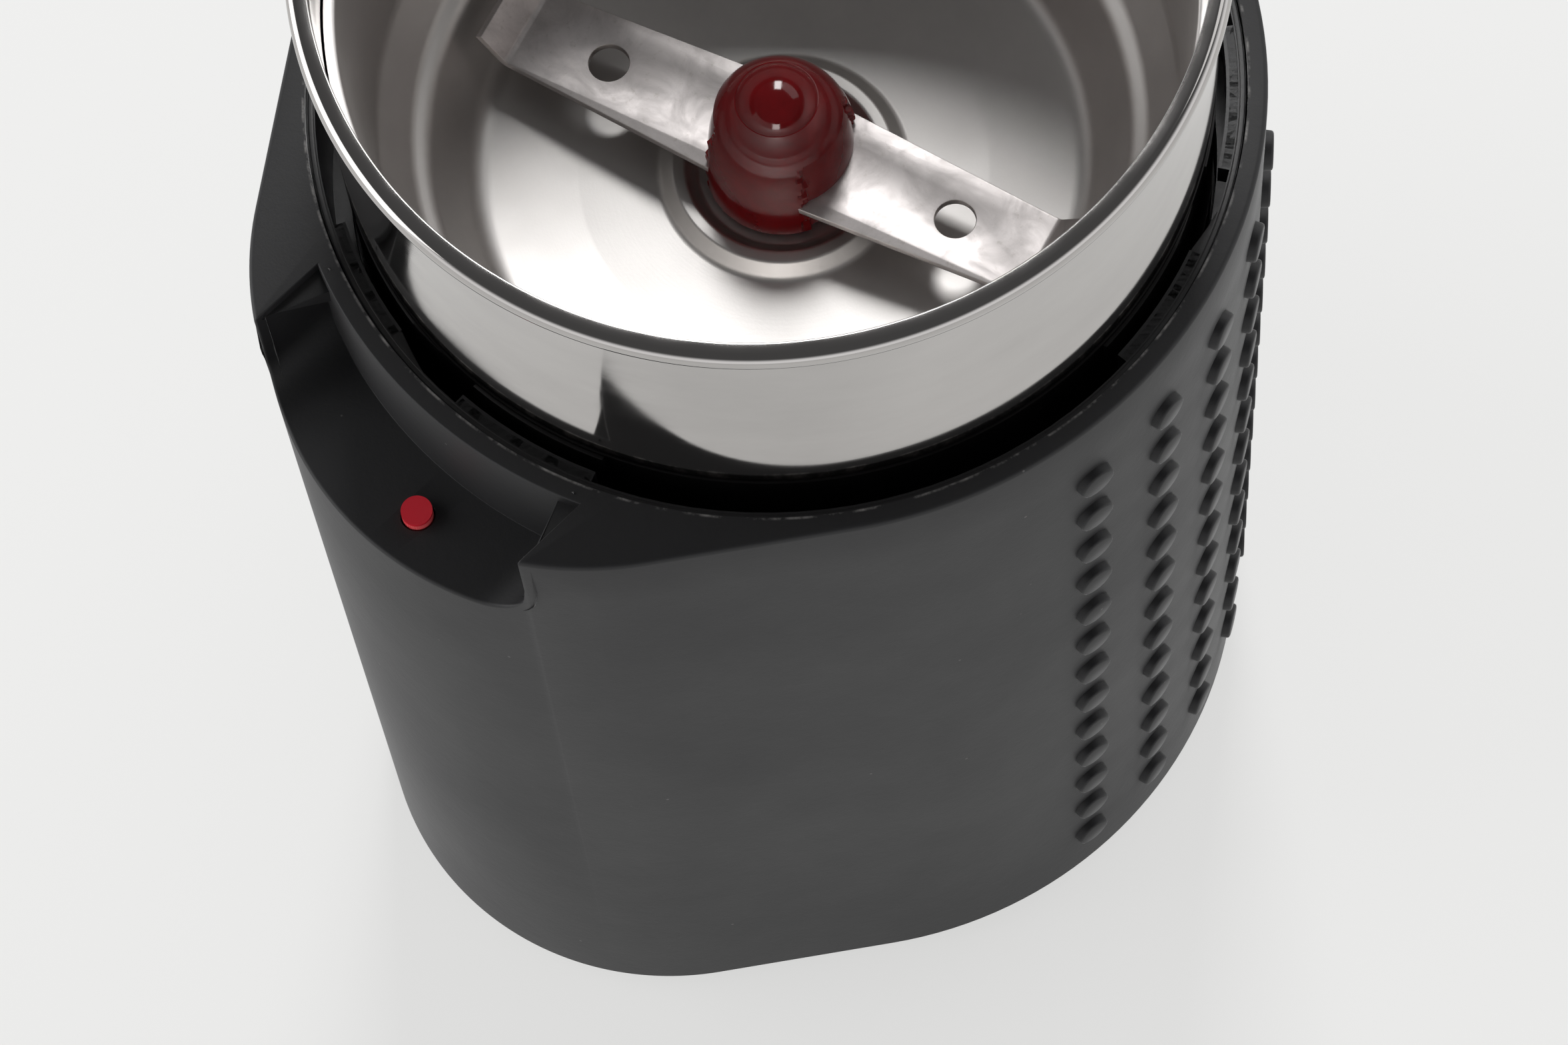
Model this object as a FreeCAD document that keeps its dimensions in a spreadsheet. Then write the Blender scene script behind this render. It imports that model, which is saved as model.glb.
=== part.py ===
import FreeCAD, Part
import math
import os
import re

import Sketcher
from FreeCAD import Placement, Rotation, Vector

# Electric spice grinder with a bowl of about 0.1 l, shown without its lid.
# The bowl and motor share one upright axis. The body has an egg-shaped plan: a
# round part about that axis and a lobe toward -Y that holds the lid switch. The
# pieces are drawn about the bowl's axis and then set back along +Y, so that the
# origin lies under the middle of the whole. The part stands on z = 0.
# All sizes are in millimetres.

os.makedirs("parts", exist_ok=True)
DOC = FreeCAD.newDocument("spice_grinder")
SHEET = DOC.addObject("Spreadsheet::Sheet", "Size")
NODES = []

SIZES = [
    # plan and shell
    ("round_radius", 39.4),
    ("nose_radius", 27.4),
    ("lobe_reach", 8.4),
    ("body_height", 105.0),
    ("sleeve_bottom", 2.2),
    ("sleeve_wall", 1.6),
    ("sleeve_fit", 0.15),
    ("sleeve_top_edge", 1.0),
    ("sleeve_foot_edge", 1.3),
    ("notch_half_width", 14.9),
    ("notch_depth", 11.0),
    ("notch_corner", 4.0),
    ("housing_wall", 2.0),
    ("housing_foot", 4.5),
    ("wall_bite", 0.5),
    ("lip_rise", 0.8),
    ("lip_wall", 0.6),
    ("channel_depth", 13.0),
    ("lug_count", 3),
    ("lug_clearance", 0.8),
    ("lug_height", 2.4),
    ("lug_drop", 0.2),
    ("lock_lug_start", -88.0),
    ("lock_lug_angle", 20.0),
    ("guide_lug_start", -117.0),
    ("guide_lug_angle", 17.0),
    # grip studs
    ("stud_radius", 1.6),
    ("stud_rise", 0.8),
    ("stud_row_pitch", 7.0),
    ("stud_top_margin", 10.5),
    ("stud_foot_margin", 10.0),
    ("stud_columns", 17),
    ("stud_column_angle", 12.0),
    ("stud_gland_gap", 0.5),
    # collar and bowl
    ("collar_inset", 4.1),
    ("collar_wall", 0.7),
    ("collar_rise", 25.2),
    ("bead_radius", 0.9),
    ("bead_offset", 0.1),
    ("bowl_fit", 0.15),
    ("bowl_sheet", 0.8),
    ("bowl_shoulder_drop", 9.8),
    ("bowl_shoulder_bevel", 0.6),
    ("bowl_mouth_inset", 1.8),
    ("bowl_waist_inset", 2.7),
    ("bowl_waist_drop", 29.0),
    ("bowl_step_inset", 6.7),
    ("bowl_step_drop", 34.0),
    ("bowl_floor_inset", 9.3),
    ("bowl_floor_drop", 41.0),
    ("bowl_waist_round", 4.0),
    ("bowl_floor_round", 3.0),
    ("floor_ring_outer", 9.9),
    ("floor_ring_inner", 7.8),
    ("floor_ring_rise", 0.9),
    ("floor_ring_slope", 0.5),
    ("bowl_hole_radius", 4.6),
    # carrier plate under the bowl
    ("carrier_thickness", 4.0),
    ("carrier_fit", 0.2),
    ("carrier_bore_gap", 1.0),
    ("shelf_width", 5.5),
    ("shelf_thickness", 3.5),
    ("carrier_screw_inset", 7.0),
    ("carrier_screw_angle", 45.0),
    ("screw_radius", 1.45),
    ("screw_head_radius", 2.7),
    ("screw_head_height", 1.9),
    ("screw_recess", 0.9),
    ("thread_gap", 0.05),
    ("carrier_screw_length", 5.0),
    ("screw_clearance", 0.2),
    # shaft, blade and hub
    ("shaft_radius", 2.5),
    ("running_clearance", 0.05),
    ("press_gap", 0.02),
    ("seal_radius", 7.0),
    ("seal_height", 2.2),
    ("seal_gap", 0.05),
    ("seal_seat_gap", 0.1),
    ("blade_above_floor", 4.2),
    ("blade_thickness", 0.8),
    ("blade_root_half_width", 5.15),
    ("blade_tip_half_width", 3.5),
    ("blade_wall_gap", 2.2),
    ("blade_tip_run", 2.5),
    ("blade_tip_rise", 3.0),
    ("blade_hole_reach", 16.0),
    ("blade_hole_radius", 1.7),
    ("blade_angle", 17.2),
    ("hub_radius", 6.5),
    ("hub_floor_gap", 0.5),
    ("hub_shoulder", 6.6),
    ("hub_edge_round", 4.0),
    ("hub_ring_radius", 4.6),
    ("hub_ring_height", 11.1),
    ("hub_dome_radius", 3.3),
    ("hub_dome_height", 12.45),
    ("hub_height", 13.6),
    ("insert_radius", 3.9),
    ("insert_above_blade", 2.4),
    ("shaft_end_inset", 1.0),
    # motor
    ("stack_bottom", 37.0),
    ("fan_room", 15.0),
    ("stator_side_gap", 13.65),
    ("stator_end_gap", 9.65),
    ("armature_radius", 12.4),
    ("air_gap", 0.5),
    ("armature_slots", 11),
    ("slot_width", 1.6),
    ("slot_depth", 4.0),
    ("end_turn_height", 5.0),
    ("end_turn_radius", 11.2),
    ("end_turn_taper", 3.0),
    ("pole_half_width", 8.0),
    ("pole_bridge", 0.6),
    ("coil_side", 7.0),
    ("yoke_depth", 2.9),
    ("coil_overhang", 5.0),
    ("coil_clearance", 0.3),
    ("commutator_radius", 8.5),
    ("commutator_bottom", 18.5),
    ("commutator_height", 11.0),
    ("fan_leg_gap", 2.6),
    ("fan_height", 5.0),
    ("fan_gap", 1.5),
    ("fan_blades", 9),
    ("fan_blade_thickness", 1.0),
    ("fan_disc", 1.2),
    ("fan_vane_drop", 1.0),
    ("fan_hub_radius", 5.5),
    ("leg_width", 16.0),
    ("leg_thickness", 3.4),
    ("bridge_thickness", 3.0),
    ("lower_bridge_bottom", 9.0),
    ("bearing_radius", 5.0),
    ("bearing_height", 6.0),
    ("bearing_boss_radius", 7.6),
    ("motor_screw_radius", 1.5),
    ("motor_screw_gap", 0.1),
    ("brush_width", 5.0),
    ("brush_height", 6.0),
    ("brush_length", 9.0),
    ("brush_gap", 0.2),
    ("brush_box_gap", 2.0),
    ("brush_arm_width", 10.0),
    ("brush_post_length", 9.0),
    ("brush_post_width", 8.0),
    ("brush_box_wall", 1.0),
    ("brush_box_length", 14.0),
    ("brush_slide", 0.1),
    ("brush_spring_radius", 2.0),
    ("mount_radius", 4.0),
    ("mount_height", 7.4),
    ("mount_leg_gap", 4.6),
    ("mount_hole_skin", 1.0),
    ("mount_screw_end", 0.5),
    # lid switch
    ("pin_side", 2.3),
    ("pin_inset", 4.3),
    ("pin_radius", 1.28),
    ("pin_hole_clearance", 0.15),
    ("pin_relief", 0.3),
    ("pin_rise", 0.9),
    ("pin_travel", 2.2),
    ("pin_stop_gap", 0.3),
    ("arm_height", 3.4),
    ("arm_half_width", 2.0),
    ("stem_setback", 7.5),
    ("stem_radius", 1.5),
    ("deck_thickness", 2.2),
    ("switch_shelf_drop", 26.0),
    ("switch_shelf_thickness", 2.0),
    ("stem_below_shelf", 1.8),
    ("spring_radius", 2.3),
    ("spring_wire", 0.5),
    ("spring_coils", 6),
    ("spring_seat_gap", 0.05),
    ("lever_gap", 0.35),
    ("lever_thickness", 0.4),
    ("lever_width", 4.0),
    ("lever_pivot_side", 13.0),
    ("lever_pivot_radius", 0.5),
    ("lever_pivot_gap", 0.06),
    ("lever_eye_radius", 1.1),
    ("ear_gap", 0.3),
    ("ear_thickness", 0.6),
    ("ear_length", 1.6),
    ("ear_rise", 0.5),
    ("lever_end_side", 0.0),
    ("plunger_side", 6.0),
    ("plunger_radius", 0.9),
    ("plunger_clearance", 0.08),
    ("plunger_height", 4.9),
    ("switch_length", 19.8),
    ("switch_height", 10.2),
    ("switch_depth", 6.4),
    ("switch_top_gap", 3.4),
    ("switch_left_side", -6.0),
    ("switch_setback", 11.0),
    ("switch_screw_inset", 4.0),
    ("switch_screw_rise", 3.0),
    ("tab_thickness", 2.0),
    ("tab_drop", 20.0),
    ("switch_screw_radius", 1.1),
    ("switch_screw_gap", 0.1),
    ("switch_screw_head_rim", 0.8),
    ("switch_screw_head_height", 1.2),
    ("terminal_drop", 5.5),
    ("terminal_width", 3.2),
    ("terminal_thickness", 0.6),
    # base, feet and mains side
    ("base_bottom", 1.5),
    ("foot_radius", 5.0),
    ("foot_recess", 0.8),
    ("foot_fit", 0.1),
    ("rear_foot_inset", 8.1),
    ("rear_foot_angle", 65.5),
    ("front_foot_inset", 8.3),
    ("front_foot_angle", 54.8),
    ("post_radius", 3.6),
    ("post_height", 15.0),
    ("rear_post_inset", 6.9),
    ("rear_post_angle", 46.2),
    ("front_post_inset", 6.85),
    ("front_post_angle", 31.0),
    ("base_screw_length", 7.5),
    ("base_screw_proud", 0.3),
    ("base_hole_end", 1.5),
    ("vent_count", 7),
    ("vent_pitch", 5.0),
    ("vent_width", 2.2),
    ("vent_length", 22.0),
    ("inlet_height", 16.0),
    ("gland_radius", 4.4),
    ("gland_flange_radius", 6.5),
    ("gland_flange", 1.8),
    ("gland_inside", 2.0),
    ("gland_bore_radius", 3.2),
    ("gland_fit", 0.15),
    ("gland_seat_gap", 0.05),
    ("gland_mouth_drop", 0.5),
    ("clamp_post_side", 8.5),
    ("clamp_post_radius", 3.0),
    ("clamp_inset", 9.4),
    ("clamp_length", 24.0),
    ("clamp_width", 5.0),
    ("clamp_height", 3.0),
    ("clamp_arch_rise", 1.6),
    ("clamp_screw_length", 7.0),
    ("block_length", 13.0),
    ("block_width", 9.0),
    ("block_inset", 18.8),
    ("block_side", 0.5),
    ("block_height", 11.0),
    ("block_hole_depth", 4.0),
    ("block_hole_radius", 1.6),
    ("block_screw_gap", 0.1),
    ("block_screw_length", 3.0),
    ("capacitor_length", 12.0),
    ("capacitor_width", 6.5),
    ("capacitor_inset", 16.8),
    ("capacitor_height", 11.0),
]

# Sizes that follow from the ones above.
FOLLOWING = {
    "nose_front": "round_radius + lobe_reach",
    "nose_offset": "nose_front - nose_radius",
    "cavity_inset": "sleeve_wall + sleeve_fit + housing_wall",
    "cavity_radius": "round_radius - cavity_inset",
    "collar_radius": "round_radius - collar_inset",
    "bowl_mouth_radius": "collar_radius - bowl_mouth_inset",
    "bowl_waist_radius": "collar_radius - bowl_waist_inset",
    "bowl_step_radius": "collar_radius - bowl_step_inset",
    "bowl_floor_radius": "collar_radius - bowl_floor_inset",
    "carrier_screw_circle": "round_radius - carrier_screw_inset",
    "blade_flat_reach": "bowl_floor_radius - blade_wall_gap",
    "bowl_floor": "body_height + collar_rise - bowl_floor_drop",
    "plate_bottom": "bowl_floor - bowl_sheet - carrier_thickness",
    "upper_bridge_bottom": "plate_bottom - mount_height - bridge_thickness",
    "stack_height": "upper_bridge_bottom - fan_room - stack_bottom",
    "stator_width": "2 * (cavity_radius - stator_side_gap)",
    "stator_depth": "2 * (cavity_radius - stator_end_gap)",
    "leg_inside": "stator_depth / 2 - leg_thickness",
    "coil_depth": "leg_inside - yoke_depth - armature_radius - air_gap - pole_bridge - 2 * coil_clearance",
    "fan_radius": "leg_inside - fan_leg_gap",
    "mount_reach": "leg_inside - mount_leg_gap",
    "pin_reach": "nose_front - pin_inset",
    "stem_reach": "pin_reach - stem_setback",
    "switch_reach": "pin_reach - switch_setback",
    "clamp_reach": "round_radius - clamp_inset",
    "block_reach": "nose_front - block_inset",
    "capacitor_reach": "nose_front - capacitor_inset",
}

NAMES = {name for name, _ in SIZES}
for row, (name, amount) in enumerate(SIZES, start=1):
    SHEET.set(f"A{row}", name)
    SHEET.set(f"B{row}", str(amount))
    SHEET.setAlias(f"B{row}", name)
DOC.recompute()


def formula(text):
    """Write a formula of size names as an expression of the sheet's cells."""

    def cell(found):
        name = found[0]
        if name in FOLLOWING:
            return f"({formula(FOLLOWING[name])})"
        return f"Size.{name}" if name in NAMES else name

    return re.sub(r"[a-z][a-z_]+", cell, str(text))


def amount(text):
    """Give the present value of a formula, in millimetres or degrees."""
    found = SHEET.evalExpression(formula(text))
    return float(getattr(found, "Value", found))


def bind(piece, prop, text):
    piece.setExpression(prop, formula(text))


def put(piece, at, turn=None):
    """Place a piece at three formulas, with an optional fixed turn."""
    piece.Placement = Placement(Vector(), turn or Rotation())
    for axis, text in zip("xyz", at):
        bind(piece, f"Placement.Base.{axis}", text)
    return piece


TURNS = {
    "Z": Rotation(),
    "X": Rotation(Vector(0, 1, 0), 90),
    "Y": Rotation(Vector(1, 0, 0), -90),
}


def rod(at, radius, length, axis="Z"):
    """A cylinder that runs from a point along +X, +Y or +Z."""
    piece = DOC.addObject("Part::Cylinder", "rod")
    bind(piece, "Radius", radius)
    bind(piece, "Height", length)
    return put(piece, at, TURNS[axis])


def block(at, length, width, height):
    """A box with its lowest corner at a point."""
    piece = DOC.addObject("Part::Box", "block")
    bind(piece, "Length", length)
    bind(piece, "Width", width)
    bind(piece, "Height", height)
    return put(piece, at)


def cone(at, low, high, height):
    piece = DOC.addObject("Part::Cone", "cone")
    bind(piece, "Radius1", low)
    bind(piece, "Radius2", high)
    bind(piece, "Height", height)
    return put(piece, at)


def fuse(pieces):
    joined = DOC.addObject("Part::MultiFuse", "fuse")
    joined.Shapes = pieces
    return joined


def cut(base, tools):
    taken = DOC.addObject("Part::Cut", "cut")
    taken.Base = base
    taken.Tool = tools[0] if len(tools) == 1 else fuse(tools)
    return taken


def common(first, second):
    shared = DOC.addObject("Part::Common", "common")
    shared.Base = first
    shared.Tool = second
    return shared


def group(pieces):
    """Equal pieces that share one node."""
    joined = DOC.addObject("Part::Compound", "group")
    joined.Links = pieces
    return joined


def node(piece, name):
    """Name a finished piece and set it back so that the box's middle lies on Z."""
    piece.Label = name
    bind(piece, "Placement.Base.y", BOWL_AXIS)
    NODES.append(piece)
    return piece


def plane(body, role):
    return next(f for f in body.Origin.OriginFeatures if f.Role == role)


def new_sketch(body, role, height="0"):
    sketch = body.newObject("Sketcher::SketchObject", "sketch")
    sketch.AttachmentSupport = (plane(body, role), [""])
    sketch.MapMode = "FlatFace"
    bind(sketch, "AttachmentOffset.Base.z", height)
    return sketch


def draw(sketch, points):
    """Draw a closed outline whose corners are pairs of formulas."""
    spots = [Vector(amount(x), amount(y), 0) for x, y in points]
    lines = [
        sketch.addGeometry(Part.LineSegment(a, b))
        for a, b in zip(spots, spots[1:] + spots[:1])
    ]
    for a, b in zip(lines, lines[1:] + lines[:1]):
        sketch.addConstraint(Sketcher.Constraint("Coincident", a, 2, b, 1))
    for line, spot, texts in zip(lines, spots, points):
        for kind, place, text in (("DistanceX", spot.x, texts[0]), ("DistanceY", spot.y, texts[1])):
            held = sketch.addConstraint(Sketcher.Constraint(kind, -1, 1, line, 1, place))
            sketch.setExpression(f"Constraints[{held}]", formula(text))
    return sketch


def pad(body, sketch, length, both_ways=False):
    grown = body.newObject("PartDesign::Pad", "pad")
    grown.Profile = sketch
    bind(grown, "Length", length)
    grown.Midplane = both_ways
    return grown


def turned(name, points):
    """A body of revolution about Z from corners of radius and height."""
    body = DOC.addObject("PartDesign::Body", name)
    sketch = draw(new_sketch(body, "XZ_Plane"), points)
    turn = body.newObject("PartDesign::Revolution", "turn")
    turn.Profile = sketch
    turn.ReferenceAxis = (sketch, ["V_Axis"])
    turn.Angle = 360
    DOC.recompute()
    return body


def round_rings(body, rings, radius):
    """Round the circular edges that lie at the given radius and height."""
    feature = body.Tip
    wanted = [(amount(r), amount(z)) for r, z in rings]
    edges = []
    for number, edge in enumerate(feature.Shape.Edges, start=1):
        if not isinstance(edge.Curve, Part.Circle):
            continue
        at = (edge.Curve.Radius, edge.Curve.Center.z)
        if any(math.dist(at, spot) < 0.01 for spot in wanted):
            edges.append(f"Edge{number}")
    rounded = body.newObject("PartDesign::Fillet", "rounding")
    rounded.Base = (feature, edges)
    bind(rounded, "Radius", radius)
    DOC.recompute()
    return rounded


def egg_sketch(body, inset, height):
    """The plan of the body, drawn in by an inset: two arcs and two tangent lines."""
    sketch = new_sketch(body, "XY_Plane", height)
    big = amount(f"round_radius - ({inset})")
    small = amount(f"nose_radius - ({inset})")
    reach = amount("nose_offset")
    lean = math.acos((big - small) / reach)
    start = -math.pi / 2 + lean
    end = 1.5 * math.pi - lean
    nose = Vector(0, -reach, 0)
    up = Vector(0, 0, 1)
    round_arc = Part.ArcOfCircle(Part.Circle(Vector(), up, big), start, end)
    nose_arc = Part.ArcOfCircle(Part.Circle(nose, up, small), end, start + 2 * math.pi)
    parts = [
        sketch.addGeometry(shape)
        for shape in (
            round_arc,
            Part.LineSegment(round_arc.EndPoint, nose_arc.StartPoint),
            nose_arc,
            Part.LineSegment(nose_arc.EndPoint, round_arc.StartPoint),
        )
    ]
    for a, b in zip(parts, parts[1:] + parts[:1]):
        sketch.addConstraint(Sketcher.Constraint("Tangent", a, 2, b, 1))
    sketch.addConstraint(Sketcher.Constraint("Coincident", parts[0], 3, -1, 1))
    sketch.addConstraint(Sketcher.Constraint("PointOnObject", parts[2], 3, -2))
    held = sketch.addConstraint(Sketcher.Constraint("DistanceY", parts[2], 3, -1, 1, reach))
    sketch.setExpression(f"Constraints[{held}]", formula("nose_offset"))
    for arc, text, radius in ((parts[0], "round_radius", big), (parts[2], "nose_radius", small)):
        held = sketch.addConstraint(Sketcher.Constraint("Radius", arc, radius))
        sketch.setExpression(f"Constraints[{held}]", formula(f"{text} - ({inset})"))
    return sketch


def egg_prism(name, inset, bottom, top):
    body = DOC.addObject("PartDesign::Body", name)
    pad(body, egg_sketch(body, inset, bottom), f"{top} - ({bottom})")
    DOC.recompute()
    return body


def round_rim(body, height, radius):
    """Round every edge of the flat face at one height."""
    feature = body.Tip
    level = amount(height)
    edges = [
        f"Edge{number}"
        for number, edge in enumerate(feature.Shape.Edges, start=1)
        if all(abs(v.Point.z - level) < 1e-6 for v in edge.Vertexes)
    ]
    rounded = body.newObject("PartDesign::Fillet", "rounding")
    rounded.Base = (feature, edges)
    bind(rounded, "Radius", radius)
    DOC.recompute()


def notch(inset):
    """The room in front of the round part above the ledge, drawn in by an inset."""
    ledge = f"body_height - notch_depth - ({inset})"
    side = f"notch_half_width + ({inset})"
    corner = f"notch_corner + ({inset})"
    reach = "nose_front + 1"
    rise = "body_height"
    slot = [
        block((f"-({side})", f"-({reach})", f"{ledge} + {corner}"), f"2 * ({side})", reach, rise),
        block((f"-({side}) + {corner}", f"-({reach})", ledge), f"2 * ({side} - ({corner}))", reach, rise),
    ]
    for sign in (-1, 1):
        centre = (f"{sign} * ({side} - ({corner}))", f"-({reach})", f"{ledge} + {corner}")
        slot.append(rod(centre, corner, reach, "Y"))
    middle = rod(("0", "0", f"{ledge} - 1"), f"round_radius - ({inset})", f"{rise} + {corner} + 2")
    return cut(fuse(slot), [middle])


def egg_form(name, inset, bottom, top):
    return cut(egg_prism(name, inset, bottom, top), [notch(inset)])


# Heights that many pieces share.
THROUGH = "body_height"
BOWL_AXIS = "(lobe_reach - gland_flange) / 2"
RIM = "body_height + collar_rise"
LEDGE = "(body_height - notch_depth)"
FLOOR = "bowl_floor"
PLATE_TOP = f"({FLOOR} - bowl_sheet)"
PLATE_BOTTOM = "plate_bottom"
STACK_TOP = "(stack_bottom + stack_height)"
BORE = "(armature_radius + air_gap)"
HOUSING_INSET = "(sleeve_wall + sleeve_fit)"
CAVITY_INSET = "cavity_inset"
HOUSING_TOP = "(body_height - sleeve_wall)"
DECK_BOTTOM = f"({LEDGE} - sleeve_wall - sleeve_fit - deck_thickness)"
ARM_TOP = f"({PLATE_BOTTOM} - shelf_thickness - pin_stop_gap)"
ARM_BOTTOM = f"({ARM_TOP} - arm_height)"
SHELF_TOP = f"({LEDGE} - switch_shelf_drop)"
STEM_BOTTOM = f"({SHELF_TOP} - switch_shelf_thickness - stem_below_shelf)"
LEVER_TOP = f"({STEM_BOTTOM} - lever_gap)"
LEVER_BOTTOM = f"({LEVER_TOP} - lever_thickness)"
LEVER_MIDDLE = f"({LEVER_BOTTOM} + lever_thickness / 2)"
SWITCH_TOP = f"({LEVER_BOTTOM} - switch_top_gap)"
SWITCH_BOTTOM = f"({SWITCH_TOP} - switch_height)"
SWITCH_MIDDLE = "(-switch_reach - switch_depth / 2)"
SWITCH_SCREWS = [
    ("switch_left_side + switch_screw_inset", f"({SWITCH_BOTTOM} + switch_screw_rise)"),
    ("switch_left_side + switch_length - switch_screw_inset", f"({SWITCH_BOTTOM} + switch_screw_rise)"),
]


def stud_forms():
    """Round studs that stand in columns about the back of the round part."""
    studs = []
    columns = int(amount("stud_columns"))
    wall_height = amount("body_height - stud_top_margin - stud_foot_margin")
    rows = int(wall_height / amount("stud_row_pitch")) + 1
    radius = amount("stud_radius")
    rise = amount("stud_rise")
    wall = amount("round_radius")
    top = amount("body_height - stud_top_margin")
    inlet = Vector(0, wall - rise, amount("inlet_height"))
    keep_clear = amount("gland_flange_radius + stud_radius + stud_gland_gap")
    for column in range(columns):
        angle = 90 + (column - (columns - 1) / 2) * amount("stud_column_angle")
        out = Vector(math.cos(math.radians(angle)), math.sin(math.radians(angle)), 0)
        for row in range(rows):
            start = out * (wall - rise) + Vector(0, 0, top - row * amount("stud_row_pitch"))
            if start.distanceToPoint(inlet) > keep_clear:
                studs.append(Part.makeCylinder(radius, 2 * rise, start, out))
    piece = DOC.addObject("Part::Feature", "studs")
    piece.Shape = Part.makeCompound(studs)
    return piece


def grip_sleeve():
    skin = egg_prism("sleeve_block", "0", "sleeve_bottom", "body_height")
    round_rim(skin, "body_height", "sleeve_top_edge")
    round_rim(skin, "sleeve_bottom", "sleeve_foot_edge")
    outer = cut(skin, [notch("0")])
    room = egg_form("sleeve_room", "sleeve_wall", "sleeve_bottom - 1", HOUSING_TOP)
    way = rod(("0", "0", "sleeve_bottom - 1"), "round_radius - sleeve_wall", "body_height + 2")
    pin_hole = rod(
        ("pin_side", "-pin_reach", f"{LEDGE} - sleeve_wall - 1"),
        "pin_radius + pin_hole_clearance", "sleeve_wall + 2",
    )
    inlet = rod(
        ("0", "round_radius - sleeve_wall - 2", "inlet_height"),
        "gland_radius + gland_fit", THROUGH, "Y",
    )
    shell = cut(fuse([outer, stud_forms()]), [room, way, pin_hole, inlet])
    node(shell, "grip_sleeve")


def plan_spots(rear, front):
    """Two places inside the round part and two inside the lobe, a pair on each side."""
    behind = (f"(round_radius - {rear}_inset) * cos({rear}_angle)",
              f"(round_radius - {rear}_inset) * sin({rear}_angle)")
    before = (f"(nose_radius - {front}_inset) * cos({front}_angle)",
              f"-nose_offset - (nose_radius - {front}_inset) * sin({front}_angle)")
    return [(f"{sign} * {side}", reach) for side, reach in (behind, before) for sign in (-1, 1)]


def posts():
    """Screw posts inside the housing, above the base plate."""
    return plan_spots("rear_post", "front_post")


def ring_spots(circle, angle, count=4):
    return [
        (f"{circle} * cos({angle} + {k * 360 / count})", f"{circle} * sin({angle} + {k * 360 / count})")
        for k in range(count)
    ]


def channel_lugs():
    """Bayonet lugs for the lid on the wall of the channel, in equal sets about the axis."""
    wall = f"(round_radius - {HOUSING_INSET} - lip_wall)"
    top = "(body_height - lip_rise - lug_drop)"
    count = int(amount("lug_count"))
    lugs = []
    for k in range(count):
        for kind in ("lock_lug", "guide_lug"):
            sector = DOC.addObject("Part::Cylinder", "sector")
            bind(sector, "Radius", f"{wall} + lip_wall / 2")
            bind(sector, "Height", "lug_height")
            bind(sector, "Angle", f"{kind}_angle")
            sector.Placement = Placement(Vector(), Rotation(Vector(0, 0, 1), 1))
            bind(sector, "Placement.Rotation.Angle", f"{kind}_start + {k * 360 / count}")
            bind(sector, "Placement.Base.z", f"{top} - lug_height")
            lugs.append(sector)
    room = rod(("0", "0", f"{top} - lug_height - 1"), "collar_radius + lug_clearance", "lug_height + 2")
    return cut(fuse(lugs), [room])


def body_housing():
    outer = egg_form("housing_block", HOUSING_INSET, "housing_foot", HOUSING_TOP)
    lip = rod(("0", "0", HOUSING_TOP), f"round_radius - {HOUSING_INSET}", "sleeve_wall - lip_rise")
    low_room = egg_prism("housing_room", CAVITY_INSET, "housing_foot - 1", DECK_BOTTOM)
    channel = rod(
        ("0", "0", "body_height - channel_depth"),
        f"round_radius - {HOUSING_INSET} - lip_wall", "channel_depth + 1",
    )
    well = rod(("0", "0", "housing_foot - 1"), f"round_radius - {CAVITY_INSET}", "body_height")
    relief = rod(
        ("pin_side", "-pin_reach", f"{ARM_BOTTOM} - pin_travel - 1"),
        "pin_radius + pin_relief", f"{LEDGE} - {ARM_BOTTOM} + pin_travel + 2",
    )
    shell = cut(fuse([outer, lip]), [low_room, channel, well])
    shelf_bottom = f"({PLATE_BOTTOM} - shelf_thickness)"
    shelf = cut(
        rod(("0", "0", shelf_bottom), f"round_radius - {CAVITY_INSET} + wall_bite", "shelf_thickness"),
        [rod(("0", "0", f"{shelf_bottom} - 1"), f"round_radius - {CAVITY_INSET} - shelf_width",
             "shelf_thickness + 2")],
    )
    solid = [shell, shelf, channel_lugs()]
    for x, y in posts():
        solid.append(rod((x, y, "housing_foot"), "post_radius", "post_height"))
    span = egg_prism("lobe_shelf", f"{CAVITY_INSET} - wall_bite", f"{SHELF_TOP} - switch_shelf_thickness",
                     SHELF_TOP)
    front = block(("-round_radius", "-nose_front", "0"), "2 * round_radius",
                  "nose_front - switch_reach + tab_thickness", "body_height")
    solid.append(common(span, front))
    tab = block(("switch_left_side", "-switch_reach", f"{SHELF_TOP} - tab_drop"),
                "switch_length", "tab_thickness", "tab_drop - switch_shelf_thickness / 2")
    solid.append(tab)
    holes = [relief]
    for x, y in posts():
        holes.append(rod((x, y, "housing_foot - 1"), "screw_radius", "base_screw_length + base_hole_end"))
    for x, y in ring_spots("carrier_screw_circle", "carrier_screw_angle"):
        holes.append(rod((x, y, f"{shelf_bottom} - 1"), "screw_radius", "shelf_thickness + 2"))
    holes.append(rod(("pin_side", "-stem_reach", f"{SHELF_TOP} - switch_shelf_thickness - 1"),
                     "stem_radius + pin_hole_clearance", "switch_shelf_thickness + 2"))
    for x, z in SWITCH_SCREWS:
        holes.append(rod((x, "-switch_reach - 1", z), "switch_screw_radius + thread_gap",
                         "tab_thickness + 2", "Y"))
    holes.append(rod(("0", f"round_radius - {CAVITY_INSET} - 2", "inlet_height"),
                     "gland_radius + gland_fit", THROUGH, "Y"))
    node(cut(fuse(solid), holes), "body_housing")


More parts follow.
